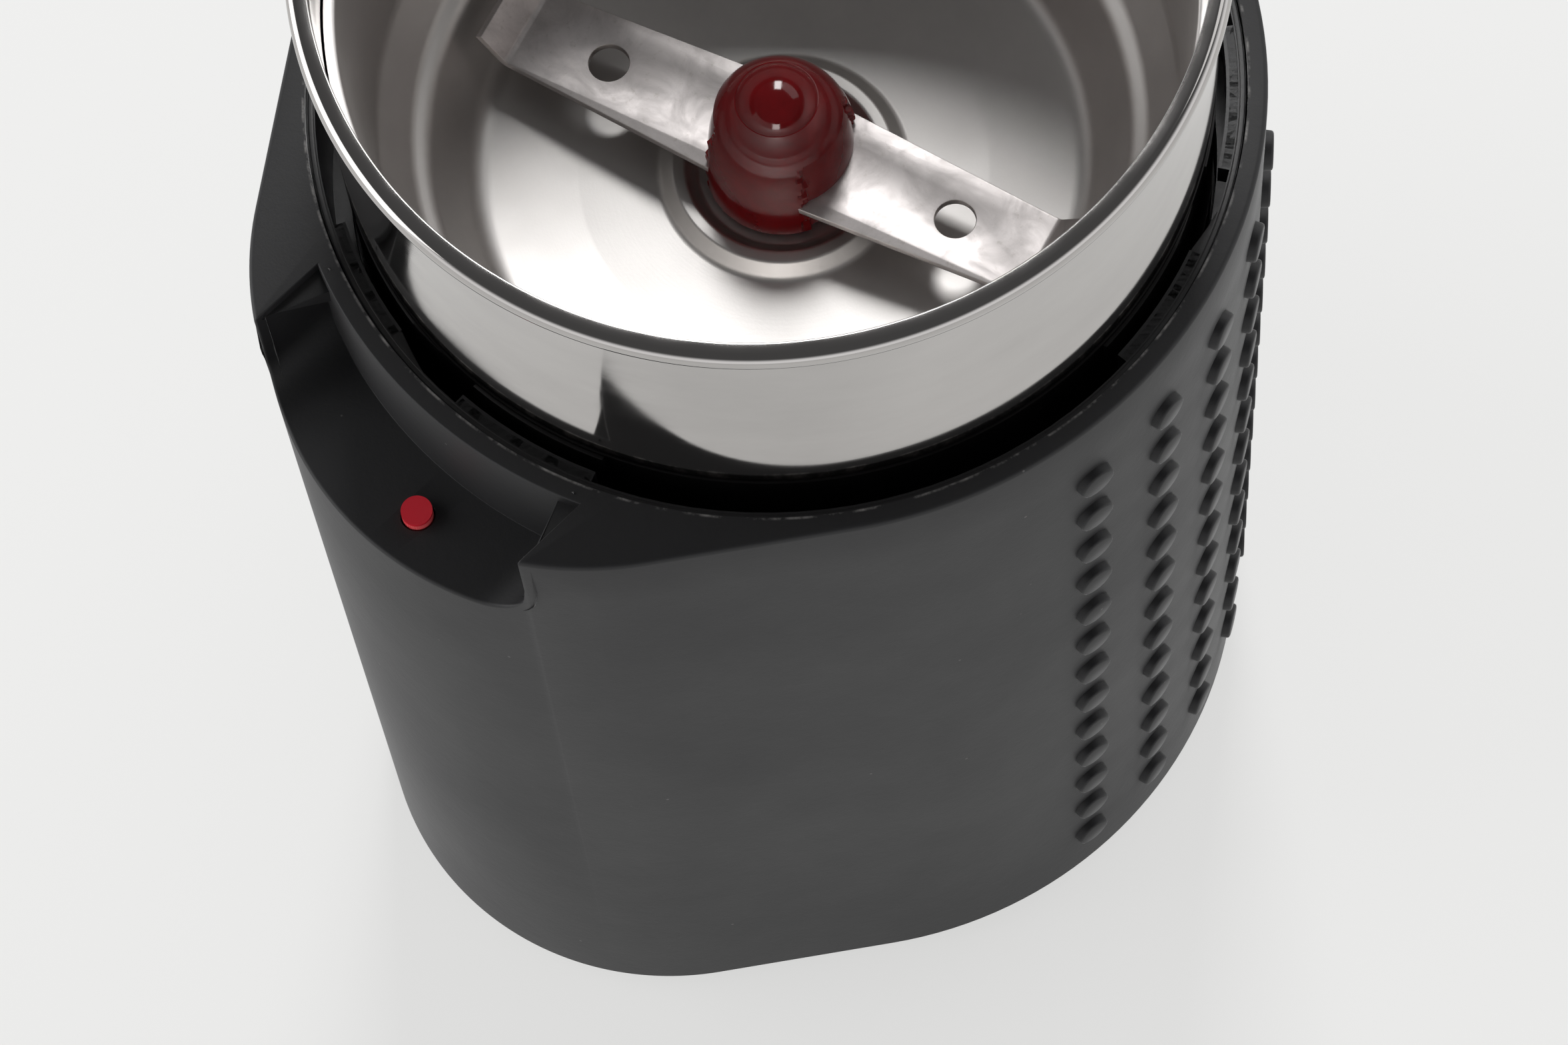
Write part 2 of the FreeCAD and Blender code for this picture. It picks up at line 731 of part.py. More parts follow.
def base_plate():
    plate = egg_prism("base_block", HOUSING_INSET, "base_bottom", "housing_foot")
    holes = []
    for x, y in posts():
        holes.append(rod((x, y, "0"), "screw_radius + screw_clearance", THROUGH))
        holes.append(rod((x, y, "0"), "screw_head_radius + screw_clearance",
                         "base_bottom + screw_head_height - base_screw_proud"))
    for x, y in feet():
        holes.append(rod((x, y, "0"), "foot_radius", "base_bottom + foot_recess"))
    half = "(vent_count - 1) / 2"
    for k in range(int(amount("vent_count"))):
        holes.append(block((f"({k} - {half}) * vent_pitch - vent_width / 2", "-vent_length / 2", "0"),
                           "vent_width", "vent_length", THROUGH))
    solid = [plate]
    for sign in (-1, 1):
        solid.append(rod((f"{sign} * clamp_post_side", "clamp_reach", "housing_foot - wall_bite"),
                         "clamp_post_radius",
                         "inlet_height - gland_bore_radius - housing_foot + wall_bite"))
        holes.append(rod((f"{sign} * clamp_post_side", "clamp_reach", "housing_foot"),
                         "screw_radius", THROUGH))
    node(cut(fuse(solid), holes), "base_plate")


def feet():
    return plan_spots("rear_foot", "front_foot")


def rubber_feet():
    pads = [rod((x, y, "0"), "foot_radius - foot_fit", "base_bottom + foot_recess") for x, y in feet()]
    node(group(pads), "rubber_feet")


def screw_up(x, y, bottom, length):
    """A screw that is driven upward, with its head at the bottom."""
    head = rod((x, y, bottom), "screw_head_radius", "screw_head_height")
    shank = rod((x, y, bottom), "screw_radius - thread_gap", f"screw_head_height + {length}")
    recess = rod((x, y, f"{bottom} - 1"), "screw_radius", "1 + screw_recess")
    return cut(fuse([head, shank]), [recess])


def screw_down(x, y, top, length):
    """A screw that is driven downward from a face at the given height."""
    head = rod((x, y, top), "screw_head_radius", "screw_head_height")
    shank = rod((x, y, f"{top} - ({length})"), "screw_radius - thread_gap",
                f"{length} + screw_head_height")
    recess = rod((x, y, f"{top} + screw_head_height - screw_recess"), "screw_radius",
                 "1 + screw_recess")
    return cut(fuse([head, shank]), [recess])


def base_screws():
    bottom = "(base_bottom - base_screw_proud)"
    screws = [screw_up(x, y, bottom, "base_screw_length") for x, y in posts()]
    node(group(screws), "base_screws")


def collar_ring():
    tube = cut(
        rod(("0", "0", PLATE_TOP), "collar_radius", f"{RIM} - {PLATE_TOP}"),
        [rod(("0", "0", f"{PLATE_TOP} - 1"), "collar_radius - collar_wall", THROUGH)],
    )
    bead = DOC.addObject("Part::Torus", "bead")
    bind(bead, "Radius1", "collar_radius + bead_offset")
    bind(bead, "Radius2", "bead_radius")
    put(bead, ("0", "0", RIM))
    node(fuse([tube, bead]), "collar_ring")


def grinding_bowl():
    sheet = "bowl_sheet"
    mouth = "(collar_radius - collar_wall - bowl_fit)"
    points = [
        ("bowl_hole_radius", FLOOR),
        ("floor_ring_inner", FLOOR),
        ("floor_ring_inner + floor_ring_slope", f"{FLOOR} + floor_ring_rise"),
        ("floor_ring_outer - floor_ring_slope", f"{FLOOR} + floor_ring_rise"),
        ("floor_ring_outer", FLOOR),
        ("bowl_floor_radius", FLOOR),
        ("bowl_step_radius", f"{RIM} - bowl_step_drop"),
        ("bowl_waist_radius", f"{RIM} - bowl_waist_drop"),
        ("bowl_mouth_radius", f"{RIM} - bowl_shoulder_drop"),
        (mouth, f"{RIM} - bowl_shoulder_drop"),
        (mouth, f"{RIM} - bowl_shoulder_drop - {sheet}"),
        (f"bowl_mouth_radius + {sheet}", f"{RIM} - bowl_shoulder_drop - {sheet} - bowl_shoulder_bevel"),
        (f"bowl_waist_radius + {sheet}", f"{RIM} - bowl_waist_drop"),
        (f"bowl_step_radius + {sheet}", f"{RIM} - bowl_step_drop"),
        (f"bowl_floor_radius + {sheet}", f"{FLOOR} - {sheet}"),
        ("bowl_hole_radius", f"{FLOOR} - {sheet}"),
    ]
    bowl = turned("grinding_bowl_body", points)
    round_rings(bowl, [("bowl_floor_radius", FLOOR)], "bowl_floor_round")
    round_rings(bowl, [("bowl_waist_radius", f"{RIM} - bowl_waist_drop")], "bowl_waist_round")
    node(bowl, "grinding_bowl")


def bowl_carrier():
    plate = rod(("0", "0", PLATE_BOTTOM), f"round_radius - {CAVITY_INSET} - carrier_fit",
                "carrier_thickness")
    holes = [rod(("0", "0", f"{PLATE_BOTTOM} - 1"), "shaft_radius + carrier_bore_gap", THROUGH)]
    holes.append(rod(("0", "0", f"{PLATE_TOP} + bowl_sheet - seal_height"),
                     "seal_radius + seal_seat_gap", THROUGH))
    for x, y in ring_spots("carrier_screw_circle", "carrier_screw_angle"):
        holes.append(rod((x, y, f"{PLATE_BOTTOM} - 1"), "screw_radius + screw_clearance", THROUGH))
        holes.append(rod((x, y, f"{PLATE_TOP} - screw_head_height"),
                         "screw_head_radius + screw_clearance", THROUGH))
    for sign in (-1, 1):
        holes.append(rod(("0", f"{sign} * mount_reach", f"{PLATE_BOTTOM} - 1"), "screw_radius",
                         "carrier_thickness - mount_hole_skin + 1"))
    node(cut(plate, holes), "bowl_carrier")


def carrier_screws():
    top = f"({PLATE_TOP} - screw_head_height)"
    spots = ring_spots("carrier_screw_circle", "carrier_screw_angle")
    screws = [screw_down(x, y, top, "carrier_screw_length") for x, y in spots]
    node(group(screws), "carrier_screws")


def shaft_seal():
    bottom = f"({PLATE_TOP} + bowl_sheet - seal_height)"
    body = rod(("0", "0", bottom), "seal_radius", f"{PLATE_TOP} - {bottom}")
    neck = rod(("0", "0", bottom), "bowl_hole_radius - seal_gap", "seal_height")
    bore = rod(("0", "0", f"{bottom} - 1"), "shaft_radius + running_clearance", "seal_height + 2")
    node(cut(fuse([body, neck]), [bore]), "shaft_seal")


BLADE_BOTTOM = f"({FLOOR} + blade_above_floor)"
HUB_BOTTOM = f"({FLOOR} + hub_floor_gap)"
SHAFT_TOP = f"({BLADE_BOTTOM} + blade_thickness + insert_above_blade)"
SHAFT_BOTTOM = "(lower_bridge_bottom + shaft_end_inset)"


def turn_to_blade(piece):
    """Turn a piece about the shaft to the blade's rest direction."""
    piece.Placement = Placement(Vector(), Rotation(Vector(0, 0, 1), 0))
    bind(piece, "Placement.Rotation.Angle", "blade_angle")
    return piece


def blade_strip():
    body = DOC.addObject("PartDesign::Body", "blade_strip")
    slant = "sqrt(blade_tip_run ^ 2 + blade_tip_rise ^ 2)"
    out = "blade_flat_reach + blade_tip_run"
    up = f"{BLADE_BOTTOM} + blade_tip_rise"
    right = [
        ("blade_flat_reach", BLADE_BOTTOM),
        (out, up),
        (f"{out} - blade_thickness * blade_tip_rise / {slant}",
         f"{up} + blade_thickness * blade_tip_run / {slant}"),
        (f"blade_flat_reach - blade_thickness * ({slant} - blade_tip_run) / blade_tip_rise",
         f"{BLADE_BOTTOM} + blade_thickness"),
    ]
    left = [(f"-({x})", z) for x, z in reversed(right)]
    pad(body, draw(new_sketch(body, "XZ_Plane"), right + left), "4 * blade_root_half_width", True)
    return body


def blade_plan():
    body = DOC.addObject("PartDesign::Body", "blade_plan")
    end = "(blade_flat_reach + blade_tip_run + 2)"
    points = [
        ("0", "-blade_root_half_width"),
        (end, "-blade_tip_half_width"),
        (end, "blade_tip_half_width"),
        ("0", "blade_root_half_width"),
        (f"-{end}", "blade_tip_half_width"),
        (f"-{end}", "-blade_tip_half_width"),
    ]
    pad(body, draw(new_sketch(body, "XY_Plane", f"{BLADE_BOTTOM} - 2"), points), "blade_tip_rise + 8")
    return body


def blade():
    flat = common(blade_strip(), blade_plan())
    holes = [rod(("0", "0", f"{BLADE_BOTTOM} - 1"), "shaft_radius + press_gap", "blade_thickness + 2")]
    for sign in (-1, 1):
        holes.append(rod((f"{sign} * blade_hole_reach", "0", f"{BLADE_BOTTOM} - 1"),
                         "blade_hole_radius", "blade_thickness + 2"))
    node(turn_to_blade(cut(flat, holes)), "blade")


def hub_cap():
    points = [
        ("insert_radius + press_gap", HUB_BOTTOM),
        ("hub_radius", HUB_BOTTOM),
        ("hub_radius", f"{HUB_BOTTOM} + hub_shoulder"),
        ("hub_ring_radius", f"{HUB_BOTTOM} + hub_ring_height"),
        ("hub_dome_radius", f"{HUB_BOTTOM} + hub_dome_height"),
        ("0", f"{HUB_BOTTOM} + hub_height"),
        ("0", f"{SHAFT_TOP} + press_gap"),
        ("insert_radius + press_gap", f"{SHAFT_TOP} + press_gap"),
    ]
    shell = turned("hub_shell", points)
    round_rings(shell, [("hub_radius", f"{HUB_BOTTOM} + hub_shoulder")], "hub_edge_round")
    slot = block(("-hub_radius - 1", "-blade_root_half_width", BLADE_BOTTOM),
                 "2 * hub_radius + 2", "2 * blade_root_half_width", "blade_thickness")
    node(turn_to_blade(cut(shell, [slot])), "hub_cap")


def hub_insert():
    """Brass bush above the blade and collar below it, both on the shaft."""
    whole = rod(("0", "0", HUB_BOTTOM), "insert_radius", f"{SHAFT_TOP} - {HUB_BOTTOM}")
    bore = rod(("0", "0", f"{HUB_BOTTOM} - 1"), "shaft_radius + press_gap", THROUGH)
    gap = rod(("0", "0", BLADE_BOTTOM), "insert_radius + 1", "blade_thickness")
    node(cut(whole, [bore, gap]), "hub_insert")


def drive_shaft():
    shaft = rod(("0", "0", SHAFT_BOTTOM), "shaft_radius", f"{SHAFT_TOP} - {SHAFT_BOTTOM}")
    node(group([shaft]), "drive_shaft")


def armature_core():
    core = rod(("0", "0", "stack_bottom"), "armature_radius", "stack_height")
    cuts = [rod(("0", "0", "stack_bottom - 1"), "shaft_radius + press_gap", "stack_height + 2")]
    count = int(amount("armature_slots"))
    for k in range(count):
        slot = block(("0", "0", "0"), "slot_depth + 1", "slot_width", "stack_height + 2")
        angle = 360 * k / count
        slot.Placement = Placement(Vector(), Rotation(Vector(0, 0, 1), angle))
        reach = "(armature_radius - slot_depth)"
        bind(slot, "Placement.Base.x", f"{reach} * cos({angle}) + slot_width / 2 * sin({angle})")
        bind(slot, "Placement.Base.y", f"{reach} * sin({angle}) - slot_width / 2 * cos({angle})")
        bind(slot, "Placement.Base.z", "stack_bottom - 1")
        cuts.append(slot)
    node(cut(core, cuts), "armature_core")


def armature_windings():
    """The end turns of the armature, one bundle at each end of the stack."""
    bundles = []
    for base, low, high in (
        ("stack_bottom - end_turn_height", "end_turn_radius - end_turn_taper", "end_turn_radius"),
        (STACK_TOP, "end_turn_radius", "end_turn_radius - end_turn_taper"),
    ):
        ring = cone(("0", "0", base), low, high, "end_turn_height")
        bore = rod(("0", "0", f"{base} - 1"), "shaft_radius + press_gap", "end_turn_height + 2")
        bundles.append(cut(ring, [bore]))
    node(group(bundles), "armature_windings")


def commutator():
    drum = rod(("0", "0", "commutator_bottom"), "commutator_radius", "commutator_height")
    bore = rod(("0", "0", "commutator_bottom - 1"), "shaft_radius + press_gap", "commutator_height + 2")
    node(cut(drum, [bore]), "commutator")


def cooling_fan():
    bottom = f"({STACK_TOP} + end_turn_height + fan_gap)"
    pieces = [
        rod(("0", "0", bottom), "fan_radius", "fan_disc"),
        rod(("0", "0", bottom), "fan_hub_radius", "fan_height"),
    ]
    count = int(amount("fan_blades"))
    start = "(fan_hub_radius - wall_bite)"
    for k in range(count):
        vane = block(("0", "0", "0"), f"fan_radius - {start}", "fan_blade_thickness",
                     "fan_height - fan_vane_drop")
        angle = 360 * k / count
        vane.Placement = Placement(Vector(), Rotation(Vector(0, 0, 1), angle))
        bind(vane, "Placement.Base.x", f"{start} * cos({angle}) + fan_blade_thickness / 2 * sin({angle})")
        bind(vane, "Placement.Base.y", f"{start} * sin({angle}) - fan_blade_thickness / 2 * cos({angle})")
        bind(vane, "Placement.Base.z", bottom)
        pieces.append(vane)
    bore = rod(("0", "0", f"{bottom} - 1"), "shaft_radius + press_gap", "fan_height + 2")
    node(cut(fuse(pieces), [bore]), "cooling_fan")


BRUSH_LEVEL = "(commutator_bottom + commutator_height / 2)"
BRUSH_START = "(commutator_radius + brush_gap)"
BOX_START = "(commutator_radius + brush_box_gap)"
BOX_END = f"({BOX_START} + brush_box_length)"
BOX_BOTTOM = f"({BRUSH_LEVEL} - brush_height / 2 - brush_box_wall)"
LEG_OUT = "(stator_depth / 2)"
LEG_IN = "leg_inside"


def bridge(bottom, leg_start, leg_end, boss_bottom):
    """A motor bridge with two legs along Y and a bearing boss."""
    pieces = [
        block(("-leg_width / 2", f"-{LEG_OUT}", bottom), "leg_width", f"2 * {LEG_OUT}", "bridge_thickness"),
        rod(("0", "0", boss_bottom), "bearing_boss_radius", "bearing_height"),
    ]
    for at in (LEG_IN, f"-{LEG_OUT}"):
        pieces.append(block(("-leg_width / 2", at, leg_start), "leg_width", "leg_thickness",
                            f"{leg_end} - ({leg_start})"))
    holes = [rod(("0", "0", f"{boss_bottom} - 1"), "bearing_radius + press_gap", "bearing_height + 2")]
    for sign in (-1, 1):
        spot = f"{sign} * ({LEG_OUT} + {LEG_IN}) / 2"
        holes.append(rod(("0", spot, "0"), "motor_screw_radius + motor_screw_gap", THROUGH))
    return pieces, holes


def upper_bracket():
    bottom = "upper_bridge_bottom"
    boss = "(upper_bridge_bottom + bridge_thickness - bearing_height)"
    pieces, holes = bridge(bottom, STACK_TOP, f"{bottom} + 1", boss)
    for sign in (-1, 1):
        holes.append(rod(("0", f"{sign} * mount_reach", f"{bottom} - 1"),
                         "screw_radius + screw_clearance", "bridge_thickness + 2"))
    node(cut(fuse(pieces), holes), "upper_bracket")


def lower_bracket():
    bottom = "lower_bridge_bottom"
    pieces, holes = bridge(bottom, f"{bottom} + bridge_thickness - 1", "stack_bottom", bottom)
    pieces.append(block((f"-{BOX_END}", "-brush_arm_width / 2", bottom), f"2 * {BOX_END}",
                        "brush_arm_width", "bridge_thickness"))
    for at in (f"-{BOX_END}", f"{BOX_END} - brush_post_length"):
        pieces.append(block((at, "-brush_post_width / 2", bottom), "brush_post_length",
                            "brush_post_width", f"{BOX_BOTTOM} - {bottom}"))
    node(cut(fuse(pieces), holes), "lower_bracket")


def bearings():
    for name, bottom in (
        ("upper_bearing", "(upper_bridge_bottom + bridge_thickness - bearing_height)"),
        ("lower_bearing", "lower_bridge_bottom"),
    ):
        bush = rod(("0", "0", bottom), "bearing_radius", "bearing_height")
        bore = rod(("0", "0", f"{bottom} - 1"), "shaft_radius + running_clearance", "bearing_height + 2")
        node(cut(bush, [bore]), name)


def stator_core():
    stack = block(("-stator_width / 2", "-stator_depth / 2", "stack_bottom"),
                  "stator_width", "stator_depth", "stack_height")
    cuts = [rod(("0", "0", "stack_bottom - 1"), BORE, "stack_height + 2")]
    window = "(coil_side + 2 * coil_clearance)"
    for y in (f"{BORE} + pole_bridge", f"-({BORE} + pole_bridge) - coil_depth - 2 * coil_clearance"):
        for x in ("pole_half_width", f"-pole_half_width - {window}"):
            cuts.append(block((x, y, "stack_bottom - 1"), window, "coil_depth + 2 * coil_clearance",
                              "stack_height + 2"))
    for sign in (-1, 1):
        cuts.append(rod(("0", f"{sign} * ({LEG_OUT} + {LEG_IN}) / 2", "stack_bottom - 1"),
                        "motor_screw_radius + motor_screw_gap", "stack_height + 2"))
    node(cut(stack, cuts), "stator_core")


def field_coils():
    """Two wound rings, each about one pole neck of the stator."""
    coils = []
    half = "(pole_half_width + coil_clearance)"
    low = "(stack_bottom - coil_clearance)"
    tall = "(stack_height + 2 * coil_clearance)"
    for y in (f"{BORE} + pole_bridge + coil_clearance",
              f"-({BORE} + pole_bridge) - coil_clearance - coil_depth"):
        outer = block((f"-{half} - coil_side", y, f"{low} - coil_overhang"),
                      f"2 * ({half} + coil_side)", "coil_depth", f"{tall} + 2 * coil_overhang")
        neck = block((f"-{half}", f"{y} - 1", low), f"2 * {half}", "coil_depth + 2", tall)
        coils.append(cut(outer, [neck]))
    node(group(coils), "field_coils")


def motor_screws():
    screws = []
    head = "(lower_bridge_bottom - screw_head_height)"
    for sign in (-1, 1):
        spot = f"{sign} * ({LEG_OUT} + {LEG_IN}) / 2"
        screws.append(fuse([
            rod(("0", spot, head), "screw_head_radius", "screw_head_height"),
            rod(("0", spot, head), "motor_screw_radius",
                "upper_bridge_bottom - lower_bridge_bottom + bridge_thickness"),
        ]))
    node(group(screws), "motor_screws")


def motor_mounts():
    """Rubber bushes between the upper bridge and the carrier plate."""
    bottom = "(upper_bridge_bottom + bridge_thickness)"
    bushes = []
    for sign in (-1, 1):
        y = f"{sign} * mount_reach"
        bush = rod(("0", y, bottom), "mount_radius", f"{PLATE_BOTTOM} - {bottom}")
        bore = rod(("0", y, f"{bottom} - 1"), "screw_radius + screw_clearance", THROUGH)
        bushes.append(cut(bush, [bore]))
    node(group(bushes), "motor_mounts")


def mount_screws():
    bottom = "(upper_bridge_bottom - screw_head_height)"
    length = f"{PLATE_TOP} - mount_hole_skin - mount_screw_end - upper_bridge_bottom"
    screws = [screw_up("0", f"{sign} * mount_reach", bottom, length) for sign in (-1, 1)]
    node(group(screws), "mount_screws")


def brush_gear():
    boxes = []
    brushes = []
    springs = []
    for sign in (-1, 1):
        box_at = BOX_START if sign == 1 else f"-{BOX_END}"
        brush_at = BRUSH_START if sign == 1 else f"-{BRUSH_START} - brush_length"
        wide = "(brush_width + 2 * brush_slide)"
        tall = "(brush_height + brush_slide)"
        outer = block((box_at, f"-{wide} / 2 - brush_box_wall",
                       BOX_BOTTOM),
                      "brush_box_length", f"{wide} + 2 * brush_box_wall", f"{tall} + 2 * brush_box_wall")
        room_at = f"{BOX_START} - 1" if sign == 1 else f"-{BOX_END} + brush_box_wall"
        room = block((room_at, f"-{wide} / 2", f"{BRUSH_LEVEL} - brush_height / 2"),
                     "brush_box_length - brush_box_wall + 1", wide, tall)
        boxes.append(cut(outer, [room]))
        brushes.append(block((brush_at, "-brush_width / 2", f"{BRUSH_LEVEL} - brush_height / 2"),
                             "brush_length", "brush_width", "brush_height"))
        spring_from = f"({BRUSH_START} + brush_length)"
        spring_length = f"({BOX_END} - brush_box_wall - {spring_from})"
        spring_at = spring_from if sign == 1 else f"-{spring_from} - {spring_length}"
        springs.append(rod((spring_at, "0", BRUSH_LEVEL), "brush_spring_radius", spring_length, "X"))
    node(group(boxes), "brush_boxes")
    node(group(brushes), "carbon_brushes")
    node(group(springs), "brush_springs")


def switch_pin():
    """The red pin that the lid presses, with an arm and a stem inside the body."""
    pin = rod(("pin_side", "-pin_reach", ARM_BOTTOM), "pin_radius", f"{LEDGE} + pin_rise - {ARM_BOTTOM}")
    arm = block(("pin_side - arm_half_width", "-pin_reach + pin_radius / 2", ARM_BOTTOM),
                "2 * arm_half_width", "pin_reach - pin_radius / 2 - stem_reach", "arm_height")
    stem = rod(("pin_side", "-stem_reach", STEM_BOTTOM), "stem_radius", f"{ARM_TOP} - {STEM_BOTTOM}")
    head = rod(("pin_side", "-stem_reach", ARM_BOTTOM), "spring_radius + spring_wire", "arm_height")
    node(fuse([pin, arm, stem, head]), "switch_pin")


def arc_towards(start, corner, end):
    """The arc from start to end whose end tangents meet at the corner."""
    middle = (start + end) / 2
    half = start.distanceToPoint(end) / 2
    lean = math.acos(half / start.distanceToPoint(corner))
    crest = middle + (corner - middle).normalize() * half * math.tan(lean / 2)
    return Part.Arc(start, crest, end).toShape()


def coil_path(radius, low, high, quarters):
    """A helix about Z as pairs of arcs, one pair to each quarter turn."""
    climb = (high - low) / quarters
    slope = climb / (radius * math.pi / 2)
    spots = []
    for k in range(quarters + 1):
        turn = math.radians(90 * k)
        spot = Vector(radius * math.cos(turn), radius * math.sin(turn), low + climb * k)
        spots.append((spot, Vector(-math.sin(turn), math.cos(turn), slope).normalize()))
    edges = []
    for (start, out), (end, onward) in zip(spots, spots[1:]):
        span = end - start
        both = span.dot(out + onward)
        bend = 2 * (1 - out.dot(onward))
        reach = (math.sqrt(both ** 2 + bend * span.dot(span)) - both) / bend
        first = start + out * reach
        last = end - onward * reach
        meet = (first + last) / 2
        edges += [arc_towards(start, first, meet), arc_towards(meet, last, end)]
    return Part.Wire(edges), spots[0][1]


def pin_spring():
    """A coil spring between the shelf and the arm of the pin."""
    wire = amount("spring_wire") / 2
    radius = amount("spring_radius")
    low = amount(f"{SHELF_TOP} + spring_seat_gap") + wire
    high = amount(f"{ARM_BOTTOM} - spring_seat_gap") - wire
    path, out = coil_path(radius, low, high, 4 * int(amount("spring_coils")))
    ring = Part.Wire(Part.makeCircle(wire, Vector(radius, 0, low), out))
    piece = DOC.addObject("Part::Feature", "coil")
    piece.Shape = path.makePipeShell([ring], True, False)
    piece.Placement = Placement(Vector(amount("pin_side"), -amount("stem_reach"), 0), Rotation())
    pitch = (high - low) / amount("spring_coils")
    print(f"spring: {pitch - 2 * wire:.2f} mm between coils, volume {piece.Shape.Volume:.2f},"
          f" section by length {math.pi * wire ** 2 * path.Length:.2f}")
    node(group([piece]), "pin_spring")


def microswitch():
    lever_side = f"({SWITCH_MIDDLE} - lever_width / 2)"
    body = block(("switch_left_side", "-switch_reach - switch_depth", SWITCH_BOTTOM),
                 "switch_length", "switch_depth", "switch_height")
    ear_side = f"({lever_side} - ear_gap - ear_thickness)"
    plunger_bottom = f"({LEVER_BOTTOM} - lever_gap - plunger_height)"
    ear = block(("lever_pivot_side - ear_length / 2", ear_side, f"{SWITCH_TOP} - wall_bite"),
                "ear_length", "ear_thickness", f"{LEVER_TOP} - {SWITCH_TOP} + wall_bite + ear_rise")
    pivot = rod(("lever_pivot_side", ear_side, LEVER_MIDDLE), "lever_pivot_radius",
                "lever_width + ear_gap + ear_thickness + ear_gap", "Y")
    holes = [rod(("plunger_side", SWITCH_MIDDLE, f"{plunger_bottom} - pin_travel"),
                 "plunger_radius + plunger_clearance", THROUGH)]
    for x, z in SWITCH_SCREWS:
        holes.append(rod((x, "-switch_reach - switch_depth - 1", z), "switch_screw_radius + switch_screw_gap",
                         "switch_depth + 2", "Y"))
    node(cut(fuse([body, ear, pivot]), holes), "microswitch_body")
    plunger = rod(("plunger_side", SWITCH_MIDDLE, plunger_bottom), "plunger_radius", "plunger_height")
    node(group([plunger]), "microswitch_plunger")
    strip = block(("lever_end_side", lever_side, LEVER_BOTTOM),
                  "lever_pivot_side - lever_end_side", "lever_width", "lever_thickness")
    eye = rod(("lever_pivot_side", lever_side, LEVER_MIDDLE), "lever_eye_radius", "lever_width", "Y")
    eye_bore = rod(("lever_pivot_side", f"{lever_side} - 1", LEVER_MIDDLE),
                   "lever_pivot_radius + lever_pivot_gap", "lever_width + 2", "Y")
    node(cut(fuse([strip, eye]), [eye_bore]), "microswitch_lever")
    tabs = []
    for k in range(3):
        x = f"switch_left_side + switch_length * {(2 * k + 1) / 6} - terminal_thickness / 2"
        tabs.append(block((x, f"{SWITCH_MIDDLE} - terminal_width / 2", f"{SWITCH_BOTTOM} - terminal_drop"),
                          "terminal_thickness", "terminal_width", "terminal_drop"))
    node(group(tabs), "switch_terminals")


def switch_screws():
    screws = []
    for x, z in SWITCH_SCREWS:
        start = "-switch_reach - switch_depth - switch_screw_head_height"
        shank = rod((x, start, z), "switch_screw_radius",
                    "switch_screw_head_height + switch_depth + tab_thickness", "Y")
        head = rod((x, start, z), "switch_screw_radius + switch_screw_head_rim",
                   "switch_screw_head_height", "Y")
        screws.append(fuse([shank, head]))
    node(group(screws), "switch_screws")


def cord_gland():
    face = "round_radius"
    inside = f"(round_radius - {CAVITY_INSET} - gland_inside)"
    tube = rod(("0", inside, "inlet_height"), "gland_radius",
               f"{face} - {inside} + gland_flange - gland_mouth_drop", "Y")
    flange = rod(("0", f"{face} - gland_flange", "inlet_height"), "gland_flange_radius",
                 "2 * gland_flange", "Y")
    seat = rod(("0", "0", "0"), "round_radius + gland_seat_gap", THROUGH)
    rim = cut(flange, [seat])
    bore = rod(("0", f"{inside} - 1", "inlet_height"), "gland_bore_radius", THROUGH, "Y")
    node(cut(fuse([tube, rim]), [bore]), "cord_gland")


def cord_clamp():
    bottom = "(inlet_height - gland_bore_radius)"
    bar = block(("-clamp_length / 2", "clamp_reach - clamp_width / 2", bottom),
                "clamp_length", "clamp_width", "clamp_height")
    arch = rod(("0", "clamp_reach - clamp_width", f"{bottom} - gland_bore_radius + clamp_arch_rise"),
               "gland_bore_radius", "2 * clamp_width", "Y")
    holes = [arch]
    screws = []
    for sign in (-1, 1):
        x = f"{sign} * clamp_post_side"
        holes.append(rod((x, "clamp_reach", f"{bottom} - 1"), "screw_radius + screw_clearance", THROUGH))
        screws.append(screw_down(x, "clamp_reach", f"({bottom} + clamp_height)", "clamp_screw_length"))
    node(cut(bar, holes), "cord_clamp")
    node(group(screws), "clamp_screws")


def mains_parts():
    start = "(-block_side - block_length)"
    front = "(-block_reach - block_width)"
    body = block((start, front, "housing_foot"), "block_length", "block_width", "block_height")
    holes = []
    screws = []
    for k in range(3):
        x = f"{start} + block_length * {(2 * k + 1) / 6}"
        y = f"{front} + block_width / 2"
        z = "housing_foot + block_height - block_hole_depth"
        holes.append(rod((x, y, z), "block_hole_radius", "block_hole_depth + 1"))
        screws.append(rod((x, y, z), "block_hole_radius - block_screw_gap", "block_screw_length"))
    node(cut(body, holes), "terminal_block")
    node(group(screws), "terminal_screws")
    capacitor = block(("block_side", "-capacitor_reach - capacitor_width", "housing_foot"),
                      "capacitor_length", "capacitor_width", "capacitor_height")
    node(group([capacitor]), "suppressor_capacitor")


for build in (
    grip_sleeve, body_housing, base_plate, rubber_feet, base_screws, collar_ring, grinding_bowl,
    bowl_carrier, carrier_screws, shaft_seal, blade, hub_cap, hub_insert, drive_shaft,
    armature_core, armature_windings, commutator, cooling_fan, upper_bracket, lower_bracket,
    bearings, stator_core, field_coils, motor_screws, motor_mounts, mount_screws, brush_gear,
    switch_pin, pin_spring, microswitch, switch_screws, cord_gland, cord_clamp, mains_parts,
):
    build()
DOC.recompute()

